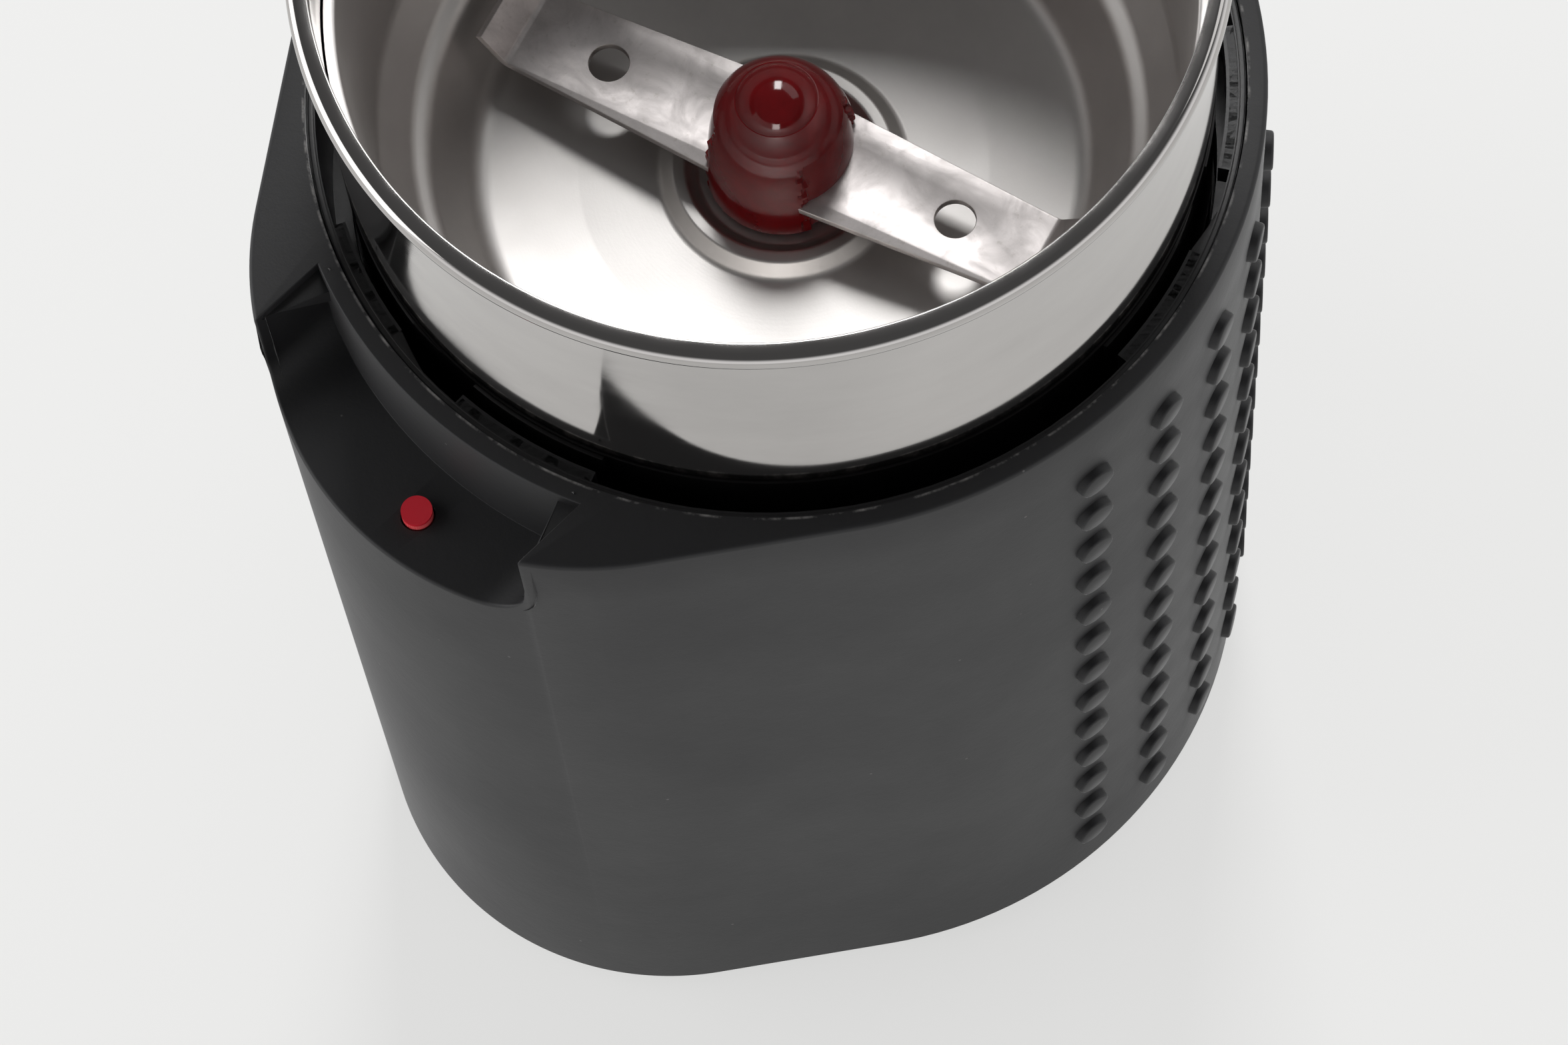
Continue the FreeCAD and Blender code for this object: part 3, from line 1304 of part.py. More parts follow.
for piece in DOC.Objects:
    if any(word in piece.State for word in ("Invalid", "Error")):
        raise RuntimeError(f"{piece.Name} ({piece.Label}) failed: {piece.State}")
for piece in NODES:
    if piece.Shape.isNull() or not piece.Shape.isValid() or not piece.Shape.Solids:
        raise RuntimeError(f"{piece.Label} has no sound shape")
for piece in NODES:
    piece.Shape.exportStep(f"parts/{piece.Label}.step")
    box = piece.Shape.BoundBox
    print(f"{piece.Label:24s} solids {len(piece.Shape.Solids):2d} volume {piece.Shape.Volume:10.1f}"
          f"  x {box.XMin:7.2f} {box.XMax:7.2f}  y {box.YMin:7.2f} {box.YMax:7.2f}"
          f"  z {box.ZMin:7.2f} {box.ZMax:7.2f}")
print(len(NODES), "nodes")
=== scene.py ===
import math

import bmesh
import bpy
from bpy.props import FloatProperty, FloatVectorProperty, IntProperty, PointerProperty
from bpy.types import Operator, Panel, PropertyGroup
from mathutils import Matrix, Vector


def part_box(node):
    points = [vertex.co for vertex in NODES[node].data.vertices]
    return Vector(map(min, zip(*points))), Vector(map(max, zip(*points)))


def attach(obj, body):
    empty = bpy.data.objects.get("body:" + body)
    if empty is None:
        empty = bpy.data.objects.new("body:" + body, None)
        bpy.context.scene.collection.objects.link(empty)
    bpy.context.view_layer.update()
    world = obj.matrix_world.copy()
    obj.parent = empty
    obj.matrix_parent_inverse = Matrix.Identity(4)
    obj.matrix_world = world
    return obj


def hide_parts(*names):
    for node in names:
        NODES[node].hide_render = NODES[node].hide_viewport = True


bl_info = {
    "name": "Spice Grinder",
    "version": (1, 0, 0),
    "blender": (4, 5, 0),
    "location": "View3D > Sidebar > Grinder",
    "description": "Dresses the packed spice grinder: sleeve, steel bowl, blade, lid switch and stage",
    "category": "Object",
}

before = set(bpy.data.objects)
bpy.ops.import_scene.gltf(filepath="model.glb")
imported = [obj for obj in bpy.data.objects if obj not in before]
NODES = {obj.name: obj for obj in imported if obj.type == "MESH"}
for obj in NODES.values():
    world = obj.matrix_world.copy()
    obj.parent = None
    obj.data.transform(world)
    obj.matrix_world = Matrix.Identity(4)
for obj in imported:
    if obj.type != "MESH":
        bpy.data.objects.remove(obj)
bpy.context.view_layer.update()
SLEEVE_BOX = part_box("grip_sleeve")
COLLAR_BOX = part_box("collar_ring")
BOWL_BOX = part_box("grinding_bowl")
BLADE_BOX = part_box("blade")
HUB_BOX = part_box("hub_cap")
PIN_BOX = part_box("switch_pin")
GLAND_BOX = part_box("cord_gland")
FOOT_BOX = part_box("rubber_feet")
SCREW_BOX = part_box("base_screws")
AXIS_Y = (COLLAR_BOX[0].y + COLLAR_BOX[1].y) / 2
BODY_TOP = SLEEVE_BOX[1].z
RIM_TOP = COLLAR_BOX[1].z
MM = 0.001


# ---------------------------------------------------------------- sizes and colours


def length(name, description, default):
    return FloatProperty(name=name, description=description, default=default, unit="LENGTH",
                         precision=5)


def angle(name, description, degrees):
    return FloatProperty(name=name, description=description, default=math.radians(degrees),
                         subtype="ANGLE")


def colour(name, description, default):
    return FloatVectorProperty(name=name, description=description, default=default, subtype="COLOR",
                               size=3, min=0.0, max=1.0)


class SleeveSizes(PropertyGroup):
    """The rubber sleeve round the body, seen from above as an egg shape."""

    round_radius: length("Round radius", "Outer radius about the bowl's axis", 0.0394)
    nose_radius: length("Nose radius", "Outer radius of the lobe with the lid switch", 0.0274)
    nose_offset: length("Nose offset", "Distance from the bowl's axis to the lobe's centre", 0.0204)
    inner_radius: length("Inner radius", "Edge of the flat top beside the channel", 0.0378)
    skin: length("Skin", "Thickness of the rubber", 0.0009)
    top_round: length("Top rounding", "Radius of the upper outer edge", 0.0010)
    foot_round: length("Foot rounding", "Radius of the lower outer edge", 0.0013)
    notch_half_width: length("Notch half width", "Half the width of the switch notch", 0.0149)
    notch_depth: length("Notch depth", "Depth of the ledge below the flat top", 0.0110)
    notch_corner: length("Notch corner", "Radius in the notch's lower corners", 0.0040)
    inlet_height: length("Inlet height", "Height of the cord inlet above the table", 0.0160)


class StudSizes(PropertyGroup):
    """The round grip studs on the back of the sleeve."""

    radius: length("Stud radius", "Radius of one stud", 0.00165)
    rise: length("Stud rise", "How far a stud stands out of the sleeve", 0.00075)
    edge: length("Stud edge", "Rounding of a stud's outer edge", 0.00022)
    columns: IntProperty(name="Columns", description="Number of upright rows of studs",
                         default=17, min=1)
    rows: IntProperty(name="Rows", description="Number of studs in each column",
                      default=13, min=1)
    pitch: length("Row pitch", "Height from one stud to the next", 0.0070)
    step: angle("Column angle", "Turn from one column to the next", 12.0)
    margin: length("Top margin", "Distance of the highest studs below the flat top", 0.0105)


class MetalSizes(PropertyGroup):
    """The polished collar and the satin bowl inside it."""

    collar_radius: length("Collar radius", "Outer radius of the collar's wall", 0.0353)
    collar_wall: length("Collar wall", "Thickness of the collar's sheet", 0.0007)
    bead_radius: length("Bead radius", "Radius of the rolled rim", 0.0009)
    bowl_sheet: length("Bowl sheet", "Thickness of the bowl's sheet", 0.0007)


class BladeSizes(PropertyGroup):
    """The two-armed blade under the red hub."""

    turn: angle("Blade turn", "Direction of the blade at rest", 17.2)
    thickness: length("Thickness", "Thickness of the blade's strip", 0.00078)
    root: length("Root half width", "Half the width at the hub", 0.00512)
    tip: length("Tip half width", "Half the width past the bend", 0.00352)
    flat_reach: length("Flat reach", "Distance from the axis to the bend", 0.0238)
    tip_run: length("Tip run", "Level length of the raised tip", 0.0024)
    tip_rise: length("Tip rise", "Height that the tip is raised", 0.0029)
    hole_reach: length("Hole reach", "Distance of the holes from the axis", 0.0160)
    hole_radius: length("Hole radius", "Radius of the round holes", 0.0017)


class BaseSizes(PropertyGroup):
    """The feet and screws under the base plate."""

    rear_foot_side: length("Rear foot side", "Sideways place of the rear feet", 0.0130)
    rear_foot_reach: length("Rear foot reach", "How far the rear feet stand behind the axis", 0.0285)
    front_foot_side: length("Front foot side", "Sideways place of the front feet", 0.0110)
    front_foot_reach: length("Front foot reach", "How far the front feet stand before the axis", 0.0360)
    foot_radius: length("Foot radius", "Radius of a foot", 0.0049)
    rear_screw_side: length("Rear screw side", "Sideways place of the rear screws", 0.0225)
    rear_screw_reach: length("Rear screw reach", "How far the rear screws sit behind the axis", 0.0235)
    front_screw_side: length("Front screw side", "Sideways place of the front screws", 0.0176)
    front_screw_reach: length("Front screw reach", "How far the front screws sit before the axis",
                              0.0310)
    screw_radius: length("Screw head radius", "Radius of a screw head", 0.0027)


class LookColours(PropertyGroup):
    """The main colours, as they are written in the shaders."""

    rubber: colour("Rubber", "Sleeve rubber", (0.0065, 0.0064, 0.0074))
    plastic: colour("Plastic", "Body moulding inside the sleeve", (0.005, 0.005, 0.006))
    steel: colour("Steel", "Polished and satin steel", (0.74, 0.715, 0.695))
    blade: colour("Blade", "Rolled steel of the blade", (0.58, 0.545, 0.535))
    hub: colour("Hub", "Glossy hub on the blade", (0.155, 0.0030, 0.0048))
    pin: colour("Pin", "Pin of the lid switch", (0.95, 0.120, 0.130))
    table: colour("Table", "Floor and backdrop", (0.84, 0.84, 0.83))


class GrinderSettings(PropertyGroup):
    """Everything that a user of the panel may change."""

    sleeve: PointerProperty(type=SleeveSizes)
    studs: PointerProperty(type=StudSizes)
    metal: PointerProperty(type=MetalSizes)
    blade: PointerProperty(type=BladeSizes)
    base: PointerProperty(type=BaseSizes)
    looks: PointerProperty(type=LookColours)
    pin_radius: length("Pin radius", "Radius of the red pin of the lid switch", 0.00128)


# ---------------------------------------------------------------- meshes


def mesh_piece(name, corners, faces):
    """A mesh object at the origin from corner points and faces."""
    mesh = bpy.data.meshes.new(name)
    mesh.from_pydata([tuple(c) for c in corners], [], faces)
    piece = bpy.data.objects.new(name, mesh)
    bpy.context.scene.collection.objects.link(piece)
    return piece


def tidy(piece, merge=1e-6):
    """Merge doubles and point every face outwards."""
    work = bmesh.new()
    work.from_mesh(piece.data)
    bmesh.ops.remove_doubles(work, verts=work.verts, dist=merge)
    bmesh.ops.recalc_face_normals(work, faces=work.faces)
    work.to_mesh(piece.data)
    work.free()
    return piece


def smooth(piece, degrees=35):
    """Shade smooth, with edges past an angle kept sharp."""
    piece.data.polygons.foreach_set("use_smooth", [True] * len(piece.data.polygons))
    piece.data.set_sharp_from_angle(angle=math.radians(degrees))
    return piece


def apply_modifiers(piece):
    """Turn the evaluated piece into its own plain mesh."""
    graph = bpy.context.evaluated_depsgraph_get()
    baked = bpy.data.meshes.new_from_object(piece.evaluated_get(graph))
    piece.modifiers.clear()
    piece.data = baked
    baked.name = piece.name
    return piece


def lathe(name, outline, segments=160, centre=(0.0, None)):
    """Turn a closed outline of (radius, height) about an upright axis."""
    x0 = centre[0]
    y0 = AXIS_Y if centre[1] is None else centre[1]
    corners = []
    for k in range(segments):
        turn = 2 * math.pi * k / segments
        for radius, height in outline:
            corners.append((x0 + radius * math.cos(turn), y0 + radius * math.sin(turn), height))
    count = len(outline)
    faces = []
    for k in range(segments):
        here, there = k * count, (k + 1) % segments * count
        for i in range(count):
            j = (i + 1) % count
            faces.append((here + i, there + i, there + j, here + j))
    return tidy(mesh_piece(name, corners, faces))


def soften(points, radii, steps=6):
    """Round the inner corners of an open outline, each by its own radius."""
    made = [Vector(points[0])]
    for before, here, after, radius in zip(points, points[1:], points[2:], radii):
        here = Vector(here)
        back, on = Vector(before) - here, Vector(after) - here
        if radius <= 0 or back.length < 1e-9 or on.length < 1e-9:
            made.append(here)
            continue
        half = back.angle(on) / 2
        run = min(radius / math.tan(half), 0.49 * back.length, 0.49 * on.length)
        start, end = here + back.normalized() * run, here + on.normalized() * run
        for k in range(steps + 1):
            t = k / steps
            made.append(start.lerp(here, t).lerp(here.lerp(end, t), t))
    made.append(Vector(points[-1]))
    return made


def thicken(points, depth):
    """Close an open outline into a strip of even thickness, to its right-hand side."""
    offset = []
    for k, here in enumerate(points):
        along = points[min(k + 1, len(points) - 1)] - points[max(k - 1, 0)]
        along.normalize()
        offset.append(here + Vector((along.y, -along.x)) * depth)
    return [tuple(p) for p in points] + [tuple(p) for p in reversed(offset)]


# ---------------------------------------------------------------- finishes


class Finish:
    """A node material on Object coordinates, built step by step."""

    def __init__(self, name, **sockets):
        self.material = bpy.data.materials.new(name)
        self.material.use_nodes = True
        self.tree = self.material.node_tree
        self.shader = self.tree.nodes["Principled BSDF"]
        self.set(**sockets)
        self.place = self.node("ShaderNodeTexCoord").outputs["Object"]

    def set(self, **sockets):
        """Set constants on the shader, named as its sockets with _ for spaces."""
        for name, value in sockets.items():
            socket = self.shader.inputs[name.replace("_", " ")]
            socket.default_value = (*value, 1.0) if isinstance(value, (tuple, list)) else value
        return self

    def node(self, kind, **options):
        made = self.tree.nodes.new(kind)
        for key, value in options.items():
            setattr(made, key, value)
        return made

    def wire(self, target, value):
        if isinstance(value, bpy.types.NodeSocket):
            self.tree.links.new(value, target)
        else:
            target.default_value = value

    def moved(self, centre=(0, 0, 0), stretch=(1, 1, 1), turn=0.0):
        """Object coordinates seen from another centre, turned about Z and stretched."""
        shift = self.node("ShaderNodeVectorMath", operation="SUBTRACT")
        self.wire(shift.inputs[0], self.place)
        shift.inputs[1].default_value = centre
        mapping = self.node("ShaderNodeMapping")
        self.wire(mapping.inputs["Vector"], shift.outputs[0])
        mapping.inputs["Rotation"].default_value = (0, 0, turn)
        mapping.inputs["Scale"].default_value = stretch
        return mapping.outputs["Vector"]

    def noise(self, scale, detail=3.0, roughness=0.5, at=None, distortion=0.0):
        made = self.node("ShaderNodeTexNoise")
        self.wire(made.inputs["Vector"], at or self.place)
        made.inputs["Scale"].default_value = scale
        made.inputs["Detail"].default_value = detail
        made.inputs["Roughness"].default_value = roughness
        made.inputs["Distortion"].default_value = distortion
        return made.outputs["Fac"]

    def radius(self, centre=None):
        """Distance from the upright axis through a centre."""
        flat = self.moved(centre or (0, AXIS_Y, 0), (1, 1, 0))
        length_of = self.node("ShaderNodeVectorMath", operation="LENGTH")
        self.wire(length_of.inputs[0], flat)
        return length_of.outputs["Value"]

    def height(self):
        split = self.node("ShaderNodeSeparateXYZ")
        self.wire(split.inputs[0], self.place)
        return split.outputs["Z"]

    def sides(self):
        """Direction about the bowl's axis, in radians."""
        split = self.node("ShaderNodeSeparateXYZ")
        self.wire(split.inputs[0], self.moved((0, AXIS_Y, 0)))
        return self.math("ARCTAN2", split.outputs["Y"], split.outputs["X"])

    def math(self, operation, first, second=0.0):
        made = self.node("ShaderNodeMath", operation=operation)
        self.wire(made.inputs[0], first)
        self.wire(made.inputs[1], second)
        return made.outputs[0]

    def vector(self, x, y, z):
        made = self.node("ShaderNodeCombineXYZ")
        for socket, value in zip(made.inputs, (x, y, z)):
            self.wire(socket, value)
        return made.outputs[0]

    def span(self, value, low, high, start=0.0, end=1.0):
        """Map a value from one range to another, held at both ends."""
        made = self.node("ShaderNodeMapRange")
        self.wire(made.inputs["Value"], value)
        ends = {"From Min": low, "From Max": high, "To Min": start, "To Max": end}
        for name, number in ends.items():
            made.inputs[name].default_value = number
        return made.outputs["Result"]

    def blend(self, factor, first, second):
        """Mix two colours, given as colours or sockets."""
        made = self.node("ShaderNodeMix", data_type="RGBA")
        self.wire(made.inputs["Factor"], factor)
        for socket, value in ((made.inputs["A"], first), (made.inputs["B"], second)):
            self.wire(socket, value if isinstance(value, bpy.types.NodeSocket) else (*value, 1.0))
        return made.outputs["Result"]

    def colour(self, socket):
        self.wire(self.shader.inputs["Base Color"], socket)
        return self

    def roughness(self, socket):
        self.wire(self.shader.inputs["Roughness"], socket)
        return self

    def bumps(self, *layers):
        """Stack bump layers, each a height socket, its depth in metres and a strength."""
        normal = None
        for height, depth, strength in layers:
            made = self.node("ShaderNodeBump")
            made.inputs["Distance"].default_value = depth
            made.inputs["Strength"].default_value = strength
            self.wire(made.inputs["Height"], height)
            if normal is not None:
                self.wire(made.inputs["Normal"], normal)
            normal = made.outputs["Normal"]
        self.wire(self.shader.inputs["Normal"], normal)
        return self

    def specks(self, spacing, size, share):
        """Small scattered grains: 1 on a grain and 0 elsewhere."""
        cells = self.node("ShaderNodeTexVoronoi")
        self.wire(cells.inputs["Vector"], self.place)
        cells.inputs["Scale"].default_value = 1 / spacing
        grain = self.span(cells.outputs["Distance"], size * 0.6, size, 1.0, 0.0)
        pick = self.node("ShaderNodeSeparateColor")
        self.wire(pick.inputs[0], cells.outputs["Color"])
        chosen = self.math("LESS_THAN", pick.outputs[0], share)
        return self.math("MULTIPLY", grain, chosen)


def shade(value, factor):
    """A colour made lighter or darker by a factor."""
    return tuple(min(1.0, part * factor) for part in value)


def rubber_finish(name, base, centre_line=0.0378):
    """Matt silicone with fine grain, cloudy wear, dust grains and dust along the inner edge."""
    made = Finish(name, IOR=1.50, Sheen_Weight=0.40, Sheen_Roughness=0.22)
    cloud = made.noise(38, 4.0, 0.6)
    grain = made.noise(5200, 2.0, 0.6)
    tone = made.blend(made.span(cloud, 0.3, 0.7), shade(base, 0.90), shade(base, 1.10))
    dust = made.specks(0.0021, 0.075, 0.10)
    edge = made.math("ABSOLUTE", made.math("SUBTRACT", made.radius(), centre_line + 0.0001))
    line = made.span(edge, 0.0, 0.00016, 1.0, 0.0)
    patchy = made.math("MULTIPLY", line, made.span(made.noise(420, 4.0, 0.7), 0.48, 0.66))
    level = made.span(made.height(), BODY_TOP - 0.0012, BODY_TOP - 0.0003)
    worn = made.math("MULTIPLY", made.math("MULTIPLY", patchy, level), 0.75)
    mask = made.math("MAXIMUM", made.math("MULTIPLY", dust, 0.32), worn)
    made.colour(made.blend(mask, tone, (0.30, 0.29, 0.28)))
    made.roughness(made.span(cloud, 0.3, 0.7, 0.53, 0.63))
    made.bumps((made.noise(900, 3.0, 0.6), 0.00006, 0.25), (grain, 0.00002, 0.35))
    return made.material


def moulding_finish(name, base, rough=0.42, grain_scale=3200, depth=0.00002):
    """Fine-grained plastic moulding with faint flow marks."""
    made = Finish(name, IOR=1.5)
    cloud = made.noise(60, 4.0, 0.6, made.moved(stretch=(1, 1, 0.35)))
    dust = made.specks(0.0026, 0.07, 0.08)
    tone = made.blend(made.span(cloud, 0.3, 0.7), shade(base, 0.86), shade(base, 1.16))
    made.colour(made.blend(made.math("MULTIPLY", dust, 0.25), tone, (0.30, 0.30, 0.29)))
    made.roughness(made.span(cloud, 0.3, 0.7, rough - 0.05, rough + 0.07))
    made.bumps((made.noise(grain_scale, 2.0, 0.6), depth, 0.4))
    return made.material


def polished_steel(name, base, foot):
    """Mirror-polished sheet with drawn lines, wipe marks and a bump that tilts the wall's normals
    outwards towards its foot.
    """
    made = Finish(name, Metallic=1.0)
    flare_height, flare_bend = 0.030, 4.2
    low = made.math("MAXIMUM", made.math("SUBTRACT", foot + flare_height, made.height()), 0.0)
    flare = made.math("MULTIPLY", made.math("MULTIPLY", low, low), flare_bend)
    wipe = made.noise(90, 5.0, 0.65, made.moved(stretch=(1, 1, 2.5)))
    hair = made.noise(1, 2.0, 0.5, made.vector(made.math("MULTIPLY", made.sides(), 3.0), 0.0,
                                               made.math("MULTIPLY", made.height(), 9000.0)))
    made.colour(made.blend(made.span(wipe, 0.35, 0.75), shade(base, 0.66), shade(base, 0.62)))
    made.roughness(made.span(wipe, 0.35, 0.8, 0.06, 0.12))
    made.bumps((flare, 1.0, 1.0), (made.noise(55, 2.0, 0.5), 0.00010, 0.10), (hair, 0.000004, 0.25))
    return made.material


def satin_steel(name, base):
    """Bead-blasted and spun sheet: soft gloss, turned rings and fine grain."""
    made = Finish(name, Metallic=1.0)
    rings = made.noise(1, 3.0, 0.6, made.vector(made.math("MULTIPLY", made.radius(), 5200.0), 0.0,
                                                made.math("MULTIPLY", made.height(), 5200.0)))
    cloud = made.noise(110, 5.0, 0.62)
    made.colour(made.blend(made.span(cloud, 0.3, 0.75), shade(base, 0.84), shade(base, 0.94)))
    made.roughness(made.span(cloud, 0.3, 0.7, 0.42, 0.48))
    made.bumps((rings, 0.000006, 0.40), (made.noise(4800, 2.0, 0.6), 0.000008, 0.35))
    return made.material


def blade_steel(name, base, turn):
    """Rolled blade stock: cloudy grey stains, straight grinding lines and small pits."""
    made = Finish(name, Metallic=1.0)
    along = made.moved((0, AXIS_Y, 0), (30, 900, 300), -turn)
    lines = made.noise(3.2, 3.0, 0.6, along)
    stain = made.noise(260, 6.0, 0.68, distortion=0.6)
    fine = made.noise(1500, 4.0, 0.6)
    tone = made.blend(made.span(stain, 0.38, 0.66), shade(base, 1.0), shade(base, 0.80))
    tone = made.blend(made.span(fine, 0.60, 0.74, 0.0, 0.5), tone, (0.36, 0.33, 0.30))
    made.colour(tone)
    made.roughness(made.span(stain, 0.35, 0.7, 0.42, 0.54))
    made.bumps((lines, 0.000007, 0.35), (fine, 0.000010, 0.25))
    return made.material


def glossy_hub(name, base):
    """Deep glossy moulding with faint flow swirls and fine handling marks."""
    made = Finish(name, IOR=1.46, Coat_Weight=0.05, Coat_Roughness=0.04)
    swirl = made.noise(240, 4.0, 0.6, distortion=1.2)
    marks = made.noise(900, 5.0, 0.7, made.moved(stretch=(1, 1, 0.25)))
    made.colour(made.blend(made.span(swirl, 0.3, 0.7), shade(base, 0.80), shade(base, 1.22)))
    made.roughness(made.span(marks, 0.4, 0.75, 0.08, 0.18))
    made.bumps((made.noise(420, 2.0, 0.5), 0.00003, 0.12), (marks, 0.000004, 0.20))
    return made.material


def pin_finish(name, base):
    """Satin moulding rubbed by the lid: paler scratches and darker worn patches."""
    made = Finish(name, IOR=1.45)
    rubbed = made.moved(stretch=(240, 1900, 600), turn=0.7)
    scratch = made.noise(2.0, 5.0, 0.7, rubbed, distortion=0.8)
    worn = made.noise(900, 4.0, 0.65)
    tone = made.blend(made.span(worn, 0.45, 0.70), base, shade(base, 0.72))
    made.colour(made.blend(made.span(scratch, 0.58, 0.70, 0.0, 0.6), tone, (0.92, 0.30, 0.30)))
    made.roughness(made.span(worn, 0.3, 0.7, 0.36, 0.52))
    made.bumps((scratch, 0.00003, 0.35))
    return made.material


def turned_metal(name, base, rough, scale=2600):
    """Machined or plated metal with fine tool marks and small stains."""
    made = Finish(name, Metallic=1.0)
    stain = made.noise(300, 5.0, 0.65)
    made.colour(made.blend(made.span(stain, 0.35, 0.7), shade(base, 0.86), shade(base, 1.05)))
    made.roughness(made.span(stain, 0.3, 0.7, rough - 0.05, rough + 0.08))
    made.bumps((made.noise(scale, 2.0, 0.6, made.moved(stretch=(1, 1, 4))), 0.000010, 0.3))
    return made.material


def layered_metal(name, base, spacing, rough=0.5):
    """Stacked sheets or wound wire: fine level lines one above another."""
    made = Finish(name, Metallic=1.0)
    layer = made.math("SINE", made.math("MULTIPLY", made.height(), 2 * math.pi / spacing))
    stain = made.noise(220, 4.0, 0.6)
    tone = made.blend(made.span(stain, 0.3, 0.7), shade(base, 0.84), shade(base, 1.10))
    made.colour(made.blend(made.span(layer, -1.0, -0.4, 0.7, 0.0), tone, shade(base, 0.35)))
    made.roughness(made.span(stain, 0.3, 0.7, rough - 0.08, rough + 0.08))
    made.bumps((layer, spacing * 0.25, 0.6))
    return made.material


def wear(piece, material):
    """Give a piece one finish."""
    piece.data.materials.clear()
    piece.data.materials.append(material)
    return piece


# ---------------------------------------------------------------- sleeve


def egg_plan(sizes, back_steps=120, nose_steps=70, side_steps=8):
    """Points of the body's outline from above: round back, straight side, lobe, straight side."""
    lean = math.acos((sizes.round_radius - sizes.nose_radius) / sizes.nose_offset)
    start, end = -math.pi / 2 + lean, 1.5 * math.pi - lean

    def arc(radius, centre, first, last, steps):
        turns = [first + (last - first) * k / steps for k in range(steps + 1)]
        return [Vector((radius * math.cos(t), radius * math.sin(t) - centre)) for t in turns]

    back = arc(sizes.round_radius, 0.0, start, end, back_steps)
    nose = arc(sizes.nose_radius, sizes.nose_offset, end, start + 2 * math.pi, nose_steps)
    left = [back[-1].lerp(nose[0], k / side_steps) for k in range(1, side_steps)]
    right = [nose[-1].lerp(back[0], k / side_steps) for k in range(1, side_steps)]
    return back + left + nose + right


def nose_front(sizes, x):
    """The lobe's outer surface in front of a sideways place."""
    return -sizes.nose_offset - math.sqrt(sizes.nose_radius ** 2 - x ** 2)


def notch_profile(sizes, corner_steps=9, floor_steps=26):
    """The notch seen from the front, from its upper left edge round to its upper right edge."""
    half, corner = sizes.notch_half_width, sizes.notch_corner
    ledge = BODY_TOP - sizes.notch_depth
    left = [(-half, BODY_TOP)]
    for k in range(corner_steps + 1):
        turn = math.pi / 2 * k / corner_steps
        left.append((-half + corner - corner * math.cos(turn),
                     ledge + corner - corner * math.sin(turn)))
    inner = half - corner
    floor = [(-inner + 2 * inner * k / floor_steps, ledge) for k in range(1, floor_steps)]
    right = [(-x, z) for x, z in reversed(left)]
    return left + floor + right


